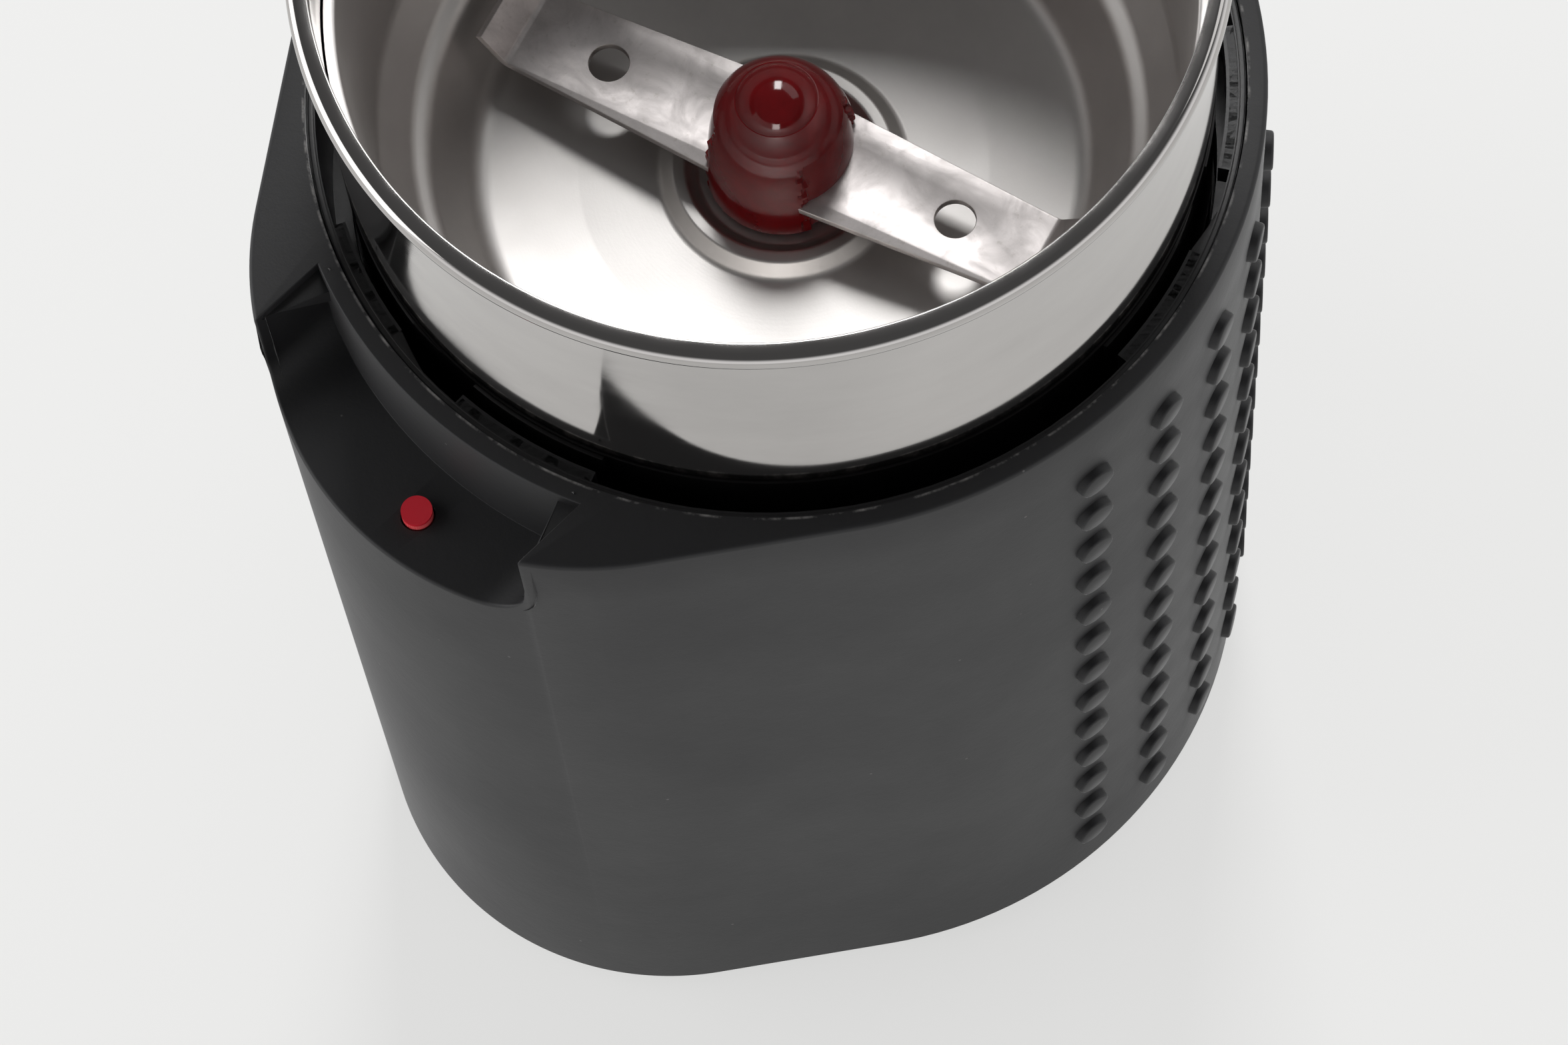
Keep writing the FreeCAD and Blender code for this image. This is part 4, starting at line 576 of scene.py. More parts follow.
def sleeve_shell(sizes):
    """Outer skin of the sleeve as an open sheet, with the widths of its rounded edges."""
    corners, faces, edges = [], [], {}

    def corner(x, y, z):
        corners.append((x, y + AXIS_Y, z))
        return len(corners) - 1

    def mark(a, b, width):
        edges[frozenset((a, b))] = width

    half = sizes.notch_half_width
    lip_round, channel_round, crest_round, inner_round = 0.7 * MM, 0.15 * MM, 0.35 * MM, 0.20 * MM
    end_round, end_run_round = 0.5 * MM, 0.3 * MM
    notch_way, crest_share = math.radians(26.0), 0.92
    joint = BODY_TOP - sizes.notch_depth + sizes.notch_corner
    notch = notch_profile(sizes)
    front = [Vector((x, nose_front(sizes, x))) for x, _ in notch[1:-1]]
    outline = [p for p in egg_plan(sizes) if abs(p.x) > half + 0.3 * MM or p.y > 0]
    after_notch = max(range(len(outline)), key=lambda k: (outline[k] - outline[k - 1]).length)
    wall = [front[-1]] + outline[after_notch:] + outline[:after_notch] + [front[0]]

    low = [corner(p.x, p.y, SLEEVE_BOX[0].z) for p in wall]
    mid = [corner(p.x, p.y, joint) for p in wall]
    top = [corner(p.x, p.y, BODY_TOP) for p in wall]
    for k in range(len(wall) - 1):
        faces.append((low[k], low[k + 1], mid[k + 1], mid[k]))
        faces.append((mid[k], mid[k + 1], top[k + 1], top[k]))
        mark(top[k], top[k + 1], sizes.top_round)
        mark(low[k], low[k + 1], sizes.foot_round)

    under = [low[-1]] + [corner(p.x, p.y, SLEEVE_BOX[0].z) for p in front[1:-1]] + [low[0]]
    lip = [corner(p.x, p.y, z) for p, (_, z) in zip(front[1:-1], notch[2:-2])]
    lip = [mid[-1]] + lip + [mid[0]]
    for k in range(len(lip) - 1):
        faces.append((under[k], under[k + 1], lip[k + 1], lip[k]))
        mark(under[k], under[k + 1], sizes.foot_round)
        mark(lip[k], lip[k + 1], lip_round)

    outer_edge = [top[-1]] + lip + [top[0]]
    inner_edge = [corner(x, -math.sqrt(sizes.round_radius ** 2 - x ** 2), z) for x, z in notch]
    for k in range(len(outer_edge) - 1):
        faces.append((outer_edge[k], outer_edge[k + 1], inner_edge[k + 1], inner_edge[k]))
        mark(inner_edge[k], inner_edge[k + 1], channel_round)
    mark(outer_edge[0], outer_edge[1], end_round)
    mark(outer_edge[-1], outer_edge[-2], end_round)
    mark(outer_edge[0], inner_edge[0], end_run_round)
    mark(outer_edge[-1], inner_edge[-1], end_run_round)

    crest = [inner_edge[0]]
    for x, _ in notch[2:-2]:
        crest.append(corner(x, -math.sqrt(sizes.round_radius ** 2 - x ** 2), BODY_TOP))
    crest.append(inner_edge[-1])
    foot = inner_edge[1:-1]
    for k in range(len(foot) - 1):
        faces.append((foot[k], foot[k + 1], crest[k + 1], crest[k]))
        mark(crest[k], crest[k + 1], crest_round)

    loop = top + crest
    ways = [math.atan2(corners[i][0], AXIS_Y - corners[i][1]) % (2 * math.pi) for i in top]
    stretch = (2 * math.pi - 2 * notch_way) / (ways[-1] - ways[0])
    ways = [notch_way + (way - ways[0]) * stretch for way in ways]
    ways += [notch_way * crest_share * (2 * k / (len(crest) - 1) - 1) for k in range(len(crest))]
    reach = sizes.inner_radius
    inner = [corner(reach * math.sin(way), -reach * math.cos(way), BODY_TOP) for way in ways]
    for k in range(len(loop)):
        n = (k + 1) % len(loop)
        faces.append((loop[k], loop[n], inner[n], inner[k]))
        mark(inner[k], inner[n], inner_round)
    return corners, faces, edges


def round_edges(piece, widths, segments=4):
    """Round marked edges, each by its own width, given by pairs of corners."""
    widest = max(widths.values())
    weights = piece.data.attributes.new("bevel_weight_edge", "FLOAT", "EDGE")
    pairs = [frozenset(edge.vertices) for edge in piece.data.edges]
    weights.data.foreach_set("value", [widths.get(pair, 0.0) / widest for pair in pairs])
    bevel = piece.modifiers.new("Rounding", "BEVEL")
    bevel.limit_method = "WEIGHT"
    bevel.width = widest
    bevel.segments = segments
    bevel.use_clamp_overlap = True
    return bevel


def cylinder(name, centre, radius, depth, along="Z", segments=64):
    """A plain cylinder that is used to cut holes."""
    work = bmesh.new()
    turn = Matrix.Rotation(math.radians(90), 4, "X") if along == "Y" else Matrix.Identity(4)
    bmesh.ops.create_cone(work, cap_ends=True, segments=segments, radius1=radius, radius2=radius,
                          depth=depth, matrix=Matrix.Translation(centre) @ turn)
    mesh = bpy.data.meshes.new(name)
    work.to_mesh(mesh)
    work.free()
    piece = bpy.data.objects.new(name, mesh)
    bpy.context.scene.collection.objects.link(piece)
    return piece


def drill(piece, cutters):
    """Cut closed shapes out of a closed piece, then delete the cutters."""
    for cutter in cutters:
        hole = piece.modifiers.new("Hole", "BOOLEAN")
        hole.operation = "DIFFERENCE"
        hole.solver = "EXACT"
        hole.object = cutter
        apply_modifiers(piece)
        bpy.data.objects.remove(cutter)
    return piece


class GRINDER_OT_sleeve(Operator):
    """Make the rubber sleeve with its switch notch, rounded edges and two holes"""

    bl_idname = "grinder.sleeve"
    bl_label = "Grip sleeve"

    def execute(self, context):
        settings = context.scene.grinder
        sizes = settings.sleeve
        corners, faces, widths = sleeve_shell(sizes)
        sleeve = mesh_piece("sleeve_skin", corners, faces)
        round_edges(sleeve, widths)
        apply_modifiers(sleeve)
        tidy(sleeve, 2e-6)
        shell = sleeve.modifiers.new("Skin", "SOLIDIFY")
        shell.thickness = sizes.skin
        shell.offset = -1.0
        shell.use_even_offset = True
        apply_modifiers(sleeve)
        pin = (PIN_BOX[0] + PIN_BOX[1]) / 2
        pin_front = PIN_BOX[0].y + settings.pin_radius
        gland = (GLAND_BOX[0] + GLAND_BOX[1]) / 2
        pin_gap, inlet_radius = 0.15 * MM, 4.5 * MM
        pin_hole_depth, inlet_hole_depth = 4 * MM, 8 * MM
        drill(sleeve, [
            cylinder("pin_cutter", (pin.x, pin_front, BODY_TOP - sizes.notch_depth),
                     settings.pin_radius + pin_gap, pin_hole_depth),
            cylinder("inlet_cutter", (gland.x, AXIS_Y + sizes.round_radius, gland.z), inlet_radius,
                     inlet_hole_depth, "Y"),
        ])
        smooth(sleeve, 32)
        wear(sleeve, rubber_finish("Sleeve rubber", settings.looks.rubber))
        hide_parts("grip_sleeve")
        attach(sleeve, "body")
        return {"FINISHED"}


# ---------------------------------------------------------------- repeated pieces


def node_tree(name, inputs):
    """A geometry node tree with named inputs and one geometry output."""
    tree = bpy.data.node_groups.new(name, "GeometryNodeTree")
    tree.interface.new_socket("Geometry", in_out="INPUT", socket_type="NodeSocketGeometry")
    for title, kind in inputs:
        tree.interface.new_socket(title, in_out="INPUT", socket_type=kind)
    tree.interface.new_socket("Geometry", in_out="OUTPUT", socket_type="NodeSocketGeometry")
    return tree, tree.nodes.new("NodeGroupInput"), tree.nodes.new("NodeGroupOutput")


def scatter_tree(name):
    """Puts one shape on every point of a mesh, turned about Z by each point's own way."""
    inputs = [("Shape", "NodeSocketObject"), ("Scale", "NodeSocketFloat"),
              ("Finish", "NodeSocketMaterial")]
    tree, given, made = node_tree(name, inputs)
    nodes, links = tree.nodes, tree.links
    shape = nodes.new("GeometryNodeObjectInfo")
    way = nodes.new("GeometryNodeInputNamedAttribute")
    way.data_type = "FLOAT_VECTOR"
    way.inputs["Name"].default_value = "turn"
    put = nodes.new("GeometryNodeInstanceOnPoints")
    real = nodes.new("GeometryNodeRealizeInstances")
    paint = nodes.new("GeometryNodeSetMaterial")
    links.new(given.outputs["Shape"], shape.inputs["Object"])
    links.new(given.outputs["Geometry"], put.inputs["Points"])
    links.new(shape.outputs["Geometry"], put.inputs["Instance"])
    links.new(way.outputs["Attribute"], put.inputs["Rotation"])
    links.new(given.outputs["Scale"], put.inputs["Scale"])
    links.new(put.outputs["Instances"], real.inputs["Geometry"])
    links.new(real.outputs["Geometry"], paint.inputs["Geometry"])
    links.new(given.outputs["Finish"], paint.inputs["Material"])
    links.new(paint.outputs["Geometry"], made.inputs["Geometry"])
    return tree


def stud_tree(name):
    """Columns and rows of one shape on a round wall, apart from a clear disc round the inlet."""
    inputs = [("Stud", "NodeSocketObject"), ("Columns", "NodeSocketInt"), ("Rows", "NodeSocketInt"),
              ("Wall radius", "NodeSocketFloat"), ("Column step", "NodeSocketFloat"),
              ("Row pitch", "NodeSocketFloat"), ("Top height", "NodeSocketFloat"),
              ("Axis", "NodeSocketVector"), ("Inlet", "NodeSocketVector"),
              ("Clear radius", "NodeSocketFloat"), ("Finish", "NodeSocketMaterial")]
    tree, given, made = node_tree(name, inputs)
    nodes, links = tree.nodes, tree.links

    def calc(operation, first, second=0.0):
        step = nodes.new("ShaderNodeMath")
        step.operation = operation
        for socket, value in zip(step.inputs, (first, second)):
            if isinstance(value, bpy.types.NodeSocket):
                links.new(value, socket)
            else:
                socket.default_value = value
        return step.outputs[0]

    count = calc("MULTIPLY", given.outputs["Columns"], given.outputs["Rows"])
    line = nodes.new("GeometryNodeMeshLine")
    links.new(count, line.inputs["Count"])
    index = nodes.new("GeometryNodeInputIndex").outputs[0]
    column = calc("FLOOR", calc("DIVIDE", calc("ADD", index, 0.5), given.outputs["Rows"]))
    row = calc("SUBTRACT", index, calc("MULTIPLY", column, given.outputs["Rows"]))
    middle = calc("DIVIDE", calc("SUBTRACT", given.outputs["Columns"], 1.0), 2.0)
    away = calc("MULTIPLY", calc("SUBTRACT", column, middle), given.outputs["Column step"])
    turn = calc("ADD", away, math.pi / 2)
    spot = nodes.new("ShaderNodeCombineXYZ")
    links.new(calc("MULTIPLY", calc("COSINE", turn), given.outputs["Wall radius"]), spot.inputs[0])
    links.new(calc("MULTIPLY", calc("SINE", turn), given.outputs["Wall radius"]), spot.inputs[1])
    drop = calc("MULTIPLY", row, given.outputs["Row pitch"])
    links.new(calc("SUBTRACT", given.outputs["Top height"], drop), spot.inputs[2])
    shifted = nodes.new("ShaderNodeVectorMath")
    links.new(spot.outputs[0], shifted.inputs[0])
    links.new(given.outputs["Axis"], shifted.inputs[1])
    placed = nodes.new("GeometryNodeSetPosition")
    links.new(line.outputs["Mesh"], placed.inputs["Geometry"])
    links.new(shifted.outputs[0], placed.inputs["Position"])
    where = nodes.new("GeometryNodeInputPosition")
    apart = nodes.new("ShaderNodeVectorMath")
    apart.operation = "DISTANCE"
    links.new(where.outputs[0], apart.inputs[0])
    links.new(given.outputs["Inlet"], apart.inputs[1])
    near = calc("LESS_THAN", apart.outputs["Value"], given.outputs["Clear radius"])
    kept = nodes.new("GeometryNodeDeleteGeometry")
    links.new(placed.outputs["Geometry"], kept.inputs["Geometry"])
    links.new(near, kept.inputs["Selection"])
    facing = nodes.new("ShaderNodeCombineXYZ")
    around = nodes.new("ShaderNodeMath")
    around.operation = "ARCTAN2"
    parts = nodes.new("ShaderNodeSeparateXYZ")
    flat = nodes.new("ShaderNodeVectorMath")
    flat.operation = "SUBTRACT"
    links.new(where.outputs[0], flat.inputs[0])
    links.new(given.outputs["Axis"], flat.inputs[1])
    links.new(flat.outputs[0], parts.inputs[0])
    links.new(parts.outputs["Y"], around.inputs[0])
    links.new(parts.outputs["X"], around.inputs[1])
    links.new(around.outputs[0], facing.inputs["Z"])
    shape = nodes.new("GeometryNodeObjectInfo")
    links.new(given.outputs["Stud"], shape.inputs["Object"])
    put = nodes.new("GeometryNodeInstanceOnPoints")
    links.new(kept.outputs["Geometry"], put.inputs["Points"])
    links.new(shape.outputs["Geometry"], put.inputs["Instance"])
    links.new(facing.outputs[0], put.inputs["Rotation"])
    real = nodes.new("GeometryNodeRealizeInstances")
    paint = nodes.new("GeometryNodeSetMaterial")
    links.new(put.outputs["Instances"], real.inputs["Geometry"])
    links.new(real.outputs["Geometry"], paint.inputs["Geometry"])
    links.new(given.outputs["Finish"], paint.inputs["Material"])
    links.new(paint.outputs["Geometry"], made.inputs["Geometry"])
    return tree


def grow(name, tree, values, points=()):
    """Run a geometry node tree on a set of points and keep its result as a plain mesh."""
    piece = mesh_piece(name, [p[:3] for p in points], [])
    if points:
        turns = piece.data.attributes.new("turn", "FLOAT_VECTOR", "POINT")
        turns.data.foreach_set("vector", [part for p in points for part in (0.0, 0.0, p[3])])
    grown = piece.modifiers.new("Grow", "NODES")
    grown.node_group = tree
    for socket in tree.interface.items_tree:
        if socket.item_type == "SOCKET" and socket.in_out == "INPUT" and socket.name in values:
            grown[socket.identifier] = values[socket.name]
    bpy.context.view_layer.update()
    return apply_modifiers(piece)


def stud_shape(sizes, steps=18):
    """One stud that points along +X: flat face, rounded edge and a foot in the sleeve."""
    r, h, e = sizes.radius, sizes.rise, sizes.edge
    spread, sunk = 0.1 * MM, 0.4 * MM
    rings = [(r - e, h), (r - 0.3 * e, h - 0.3 * e), (r, h - e), (r + spread, -sunk)]
    corners, faces = [], []
    for radius, out in rings:
        for k in range(steps):
            turn = 2 * math.pi * k / steps
            corners.append((out, radius * math.cos(turn), radius * math.sin(turn)))
    for ring in range(len(rings) - 1):
        for k in range(steps):
            n = (k + 1) % steps
            faces.append((ring * steps + k, ring * steps + n, (ring + 1) * steps + n,
                          (ring + 1) * steps + k))
    faces.append(tuple(range(steps)))
    faces.append(tuple(range(len(corners) - steps, len(corners))))
    return smooth(tidy(mesh_piece("stud_shape", corners, faces)), 40)


class GRINDER_OT_studs(Operator):
    """Set the round grip studs on the back of the sleeve"""

    bl_idname = "grinder.studs"
    bl_label = "Grip studs"

    def execute(self, context):
        settings = context.scene.grinder
        sizes = settings.studs
        gland = (GLAND_BOX[0] + GLAND_BOX[1]) / 2
        shape = stud_shape(sizes)
        wall = settings.sleeve.round_radius
        inlet_clearance = 8.6 * MM
        studs = grow("grip_studs", stud_tree("Grip studs"), {
            "Stud": shape, "Columns": sizes.columns, "Rows": sizes.rows, "Wall radius": wall,
            "Column step": sizes.step, "Row pitch": sizes.pitch,
            "Top height": BODY_TOP - sizes.margin, "Axis": (0.0, AXIS_Y, 0.0),
            "Inlet": (gland.x, AXIS_Y + wall, gland.z), "Clear radius": inlet_clearance,
            "Finish": bpy.data.materials["Sleeve rubber"],
        })
        bpy.data.objects.remove(shape)
        smooth(studs, 50)
        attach(studs, "body")
        return {"FINISHED"}


# ---------------------------------------------------------------- channel and lugs


def lug_shape(start, end, ramp, inner, outer, low, high, steps=28):
    """A lug on the channel's wall between two ways, with a ramp that falls back to the wall."""
    span = end - start + ramp
    rounding = 0.18 * MM
    corners, faces = [], []
    rows = []
    for k in range(steps + 1):
        way = start + span * k / steps
        fall = max(0.0, (way - end) / ramp) if ramp > 0 else 0.0
        reach = inner + (outer - inner - 0.1 * MM) * min(1.0, fall)
        outline = [(outer, low), (reach + rounding, low), (reach, low + rounding),
                   (reach, high - rounding * 1.6), (reach + rounding * 0.4, high - rounding * 0.5),
                   (reach + rounding * 1.4, high), (outer, high)]
        row = []
        for radius, z in outline:
            corners.append((radius * math.sin(way), -radius * math.cos(way), z))
            row.append(len(corners) - 1)
        rows.append(row)
    for a, b in zip(rows, rows[1:]):
        for i in range(len(a)):
            j = (i + 1) % len(a)
            faces.append((a[i], a[j], b[j], b[i]))
    faces.append(tuple(reversed(rows[0])))
    faces.append(tuple(rows[-1]))
    piece = tidy(mesh_piece("lug_shape", corners, faces))
    bevel = piece.modifiers.new("Ends", "BEVEL")
    bevel.limit_method = "ANGLE"
    bevel.angle_limit = math.radians(60)
    bevel.width = 0.16 * MM
    bevel.segments = 3
    return smooth(apply_modifiers(piece), 40)


class GRINDER_OT_channel(Operator):
    """Make the lip of the channel with its lugs, and the finish of the body moulding"""

    bl_idname = "grinder.channel"
    bl_label = "Channel lip"

    def execute(self, context):
        plastic = moulding_finish("Body moulding", context.scene.grinder.looks.plastic)
        outer = context.scene.grinder.sleeve.inner_radius - 0.16 * MM
        inner = outer - 0.55 * MM
        low, high = BODY_TOP - 12.5 * MM, BODY_TOP - 0.75 * MM
        outline = soften([(outer, low), (outer, high), (inner, high), (inner, low)],
                         [0.12 * MM, 0.22 * MM], 5)
        lip = lathe("channel_lip", [tuple(p) for p in outline], 220)
        wear(smooth(lip, 40), plastic)
        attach(lip, "body")
        tree = scatter_tree("Lugs")
        lug_reach, lug_low, lug_high = 36.1 * MM, BODY_TOP - 3.4 * MM, BODY_TOP - 1.0 * MM
        kinds = (("lock_lugs", 2.0, 22.0, 0.0), ("guide_lugs", -27.0, -10.0, 9.0))
        for name, start, end, ramp in kinds:
            shape = lug_shape(math.radians(start), math.radians(end), math.radians(ramp),
                              lug_reach, outer - 0.2 * MM, lug_low, lug_high)
            spots = [(0.0, AXIS_Y, 0.0, math.radians(turn)) for turn in (0, 120, 240)]
            lugs = grow(name, tree, {"Shape": shape, "Scale": 1.0, "Finish": plastic}, spots)
            bpy.data.objects.remove(shape)
            smooth(lugs, 40)
            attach(lugs, "body")
        wear(NODES["body_housing"], plastic)
        return {"FINISHED"}


# ---------------------------------------------------------------- steel pieces


class GRINDER_OT_collar(Operator):
    """Turn the polished collar with its rolled rim"""

    bl_idname = "grinder.collar"
    bl_label = "Polished collar"

    def execute(self, context):
        settings = context.scene.grinder
        sizes = settings.metal
        outer, inner = sizes.collar_radius, sizes.collar_radius - sizes.collar_wall
        bead, centre = sizes.bead_radius, outer + 0.1 * MM
        top = RIM_TOP - bead
        last = -math.pi / 2 - math.asin((centre - outer) / bead)
        corner, foot = 0.13 * MM, COLLAR_BOX[0].z
        inner_rise, outer_rise = top - 0.002 - foot, foot - top + 0.0016
        wall_steps, corner_steps, bead_steps = 8, 6, 40
        outline = [(inner, foot)]
        for k in range(wall_steps):
            outline.append((inner, foot + inner_rise * (k + 1) / wall_steps))
        for k in range(corner_steps + 1):
            turn = math.pi - math.pi / 2 * k / corner_steps
            outline.append((inner + corner + corner * math.cos(turn),
                            RIM_TOP - corner + corner * math.sin(turn)))
        for k in range(bead_steps + 1):
            turn = math.pi / 2 + (last - math.pi / 2) * k / bead_steps
            outline.append((centre + bead * math.cos(turn), top + bead * math.sin(turn)))
        for k in range(wall_steps + 1):
            outline.append((outer, top - 0.0016 + outer_rise * k / wall_steps))
        collar = smooth(lathe("collar_shell", outline, 288), 40)
        polish = polished_steel("Polished steel", settings.looks.steel, BODY_TOP - 0.004)
        wear(collar, polish)
        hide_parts("collar_ring")
        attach(collar, "body")
        return {"FINISHED"}


def bowl_outline(sheet):
    """Half section of the bowl's inside, from the shaft's hole to the flange in the collar."""
    depth, flange_drop, gap = 41.0 * MM, 9.85 * MM, 0.02 * MM
    rim = RIM_TOP - 0.9 * MM
    floor = rim - depth
    mouth = BOWL_BOX[1].x - gap
    hole_and_ring = [(4.6, 0.0), (7.2, 0.0), (8.15, 0.95), (9.15, 0.95), (10.3, 0.0)]
    dish_and_wall = [(17.0, 0.25), (25.4, 0.9), (28.6, 7.4), (29.9, 8.2), (32.6, 12.1), (33.5, 31.2)]
    points = [(r * MM, floor + z * MM) for r, z in hole_and_ring + dish_and_wall]
    points.append((mouth, rim - flange_drop))
    radii = [0.7, 0.5, 0.5, 1.0, 6.0, 2.6, 2.4, 2.2, 2.6, 0.5]
    softened = soften(points, [r * MM for r in radii], 7)
    return thicken(softened, sheet)


class GRINDER_OT_bowl(Operator):
    """Spin the satin bowl with its raised ring, step and shoulder"""

    bl_idname = "grinder.bowl"
    bl_label = "Satin bowl"

    def execute(self, context):
        settings = context.scene.grinder
        bowl = smooth(lathe("bowl_shell", bowl_outline(settings.metal.bowl_sheet), 256), 50)
        wear(bowl, satin_steel("Satin steel", settings.looks.steel))
        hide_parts("grinding_bowl")
        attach(bowl, "body")
        return {"FINISHED"}


def blade_strip(sizes):
    """The blade cut from strip: outline and holes as a filled curve, still flat before its tips are
    bent.
    """
    end = sizes.flat_reach + sizes.tip_run
    taper_run, edge_round, shaft_hole, hole_steps = 4.5 * MM, 0.08 * MM, 2.55 * MM, 48
    slope = (sizes.root - sizes.tip) / (sizes.flat_reach + taper_run)
    far = sizes.root - slope * end
    plan = [(0, -sizes.root), (end, -far), (end, far), (0, sizes.root), (-end, far), (-end, -far)]
    line = bpy.data.curves.new("blade_plan", "CURVE")
    line.dimensions = "2D"
    line.fill_mode = "BOTH"
    line.extrude = sizes.thickness / 2 - edge_round
    line.bevel_depth = edge_round
    line.bevel_resolution = 2
    line.offset = -edge_round

    def outline(points):
        spline = line.splines.new("POLY")
        spline.points.add(len(points) - 1)
        for spot, (x, y) in zip(spline.points, points):
            spot.co = (x, y, 0, 1)
        spline.use_cyclic_u = True

    outline(plan)
    turns = [2 * math.pi * k / hole_steps for k in range(hole_steps)]
    for reach, radius in ((0.0, shaft_hole), (sizes.hole_reach, sizes.hole_radius),
                          (-sizes.hole_reach, sizes.hole_radius)):
        outline([(reach + radius * math.cos(turn), radius * math.sin(turn)) for turn in turns])
    cut = bpy.data.objects.new("blade_curve", line)
    bpy.context.scene.collection.objects.link(cut)
    mesh = bpy.data.meshes.new_from_object(cut.evaluated_get(bpy.context.evaluated_depsgraph_get()))
    bpy.data.objects.remove(cut)
    return mesh


def bend_tips(mesh, sizes):
    """Lift the ends of the strip past the bend, over a short rounded length."""
    work = bmesh.new()
    work.from_mesh(mesh)
    bmesh.ops.remove_doubles(work, verts=work.verts, dist=1e-6)
    soft = 0.5 * MM
    for side in (-1, 1):
        for k in range(7):
            x = side * (sizes.flat_reach - soft + 2 * soft * k / 6)
            bmesh.ops.bisect_plane(work, geom=work.verts[:] + work.edges[:] + work.faces[:],
                                   plane_co=(x, 0, 0), plane_no=(1, 0, 0), dist=1e-7)
    run, rise = sizes.tip_run, sizes.tip_rise
    slant = math.hypot(run, rise)
    full = math.atan2(rise, run)
    for vert in work.verts:
        past = abs(vert.co.x) - (sizes.flat_reach - soft)
        if past <= 0:
            continue
        side = math.copysign(1, vert.co.x)
        stretch = slant / run
        length_on = past if past < 2 * soft else 2 * soft + (past - 2 * soft) * stretch
        bent = full * min(1.0, length_on / (2 * soft))
        if length_on < 2 * soft:
            along = math.sin(bent) * 2 * soft / full
            up = (1 - math.cos(bent)) * 2 * soft / full
        else:
            along = math.sin(full) * 2 * soft / full + (length_on - 2 * soft) * math.cos(full)
            up = (1 - math.cos(full)) * 2 * soft / full + (length_on - 2 * soft) * math.sin(full)
        z = vert.co.z
        vert.co.x = side * (sizes.flat_reach - soft + along - z * math.sin(bent))
        vert.co.z = up + z * math.cos(bent)
    bmesh.ops.recalc_face_normals(work, faces=work.faces)
    work.to_mesh(mesh)
    work.free()
    return mesh


class GRINDER_OT_blade(Operator):
    """Cut, bend and finish the two-armed blade"""

    bl_idname = "grinder.blade"
    bl_label = "Blade"

    def execute(self, context):
        settings = context.scene.grinder
        sizes = settings.blade
        mesh = bend_tips(blade_strip(sizes), sizes)
        level = BLADE_BOX[0].z + sizes.thickness / 2 + 0.01 * MM
        mesh.transform(Matrix.Translation((0, AXIS_Y, level)) @ Matrix.Rotation(sizes.turn, 4, "Z"))
        blade = bpy.data.objects.new("blade_strip", mesh)
        context.scene.collection.objects.link(blade)
        smooth(blade, 20)
        wear(blade, blade_steel("Blade steel", settings.looks.blade, sizes.turn))
        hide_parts("blade")
        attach(blade, "rotor")
        return {"FINISHED"}


def hub_outline(base):
    """Half section of the hub, from its crown down: dome, small ledge, egg curve and skirt."""
    side, height, dome, dome_round = 6.47, 13.58, 3.3, 4.32
    shoulder, fall, middle, egg_reach, egg_power = 11.96, 9.9, 2, 11.3, 2.6
    dome_steps, egg_steps = 12, 39
    points = []
    for k in range(1, dome_steps + 1):
        radius = dome * k / dome_steps
        points.append((radius, height - dome_round + math.sqrt(dome_round ** 2 - radius ** 2)))
    points.append((dome + 0.04, points[-1][1] - 0.07))
    for k in range(egg_steps + 1):
        z = shoulder - fall * k / egg_steps
        points.append((side * math.sqrt(1 - ((z - middle) / egg_reach) ** egg_power), z))
    points += [(side, 1.2), (side, 0.15), (side - 0.2, 0.0)]
    return [(r * MM, base + z * MM) for r, z in points], base + height * MM


class GRINDER_OT_hub(Operator):
    """Turn the glossy red hub with its domed crown, set back over the blade's arms"""

    bl_idname = "grinder.hub"
    bl_label = "Hub"

    def execute(self, context):
        settings = context.scene.grinder
        hub = hub_mesh(*hub_outline(HUB_BOX[0].z), settings.blade)
        smooth(hub, 30)
        wear(hub, glossy_hub("Hub gloss", settings.looks.hub))
        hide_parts("hub_cap")
        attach(hub, "rotor")
        return {"FINISHED"}


def hub_mesh(outline, crown, blade):
    """The hub about the blade's axis, set back over both arms behind a ragged seam."""
    steps = 240
    corners, faces = [(0.0, AXIS_Y, crown)], []
    count = len(outline)
    half, lip = math.radians(44), HUB_BOX[0].z + 9.3 * MM
    set_back, step_way, step_rise = 0.42 * MM, 0.03, 0.12
    for k in range(steps):
        turn = 2 * math.pi * k / steps
        for radius, z in outline:
            ragged = 0.05 * math.sin(z * 9100.0) + 0.035 * math.sin(z * 3700.0 + 1.0)
            away = (turn - blade.turn + math.pi / 2) % math.pi - math.pi / 2
            inside = min(half - abs(away) - ragged, (lip - z) / MM * step_rise + ragged)
            reach = radius - min(1.0, max(0.0, inside / step_way)) * set_back
            corners.append((reach * math.cos(turn), AXIS_Y + reach * math.sin(turn), z))
    for k in range(steps):
        here, there = 1 + k * count, 1 + (k + 1) % steps * count
        faces.append((0, here, there))
        for i in range(count - 1):
            faces.append((here + i, here + i + 1, there + i + 1, there + i))
    faces.append(tuple(1 + k * count + count - 1 for k in range(steps)))
    return tidy(mesh_piece("hub_crown", corners, faces))


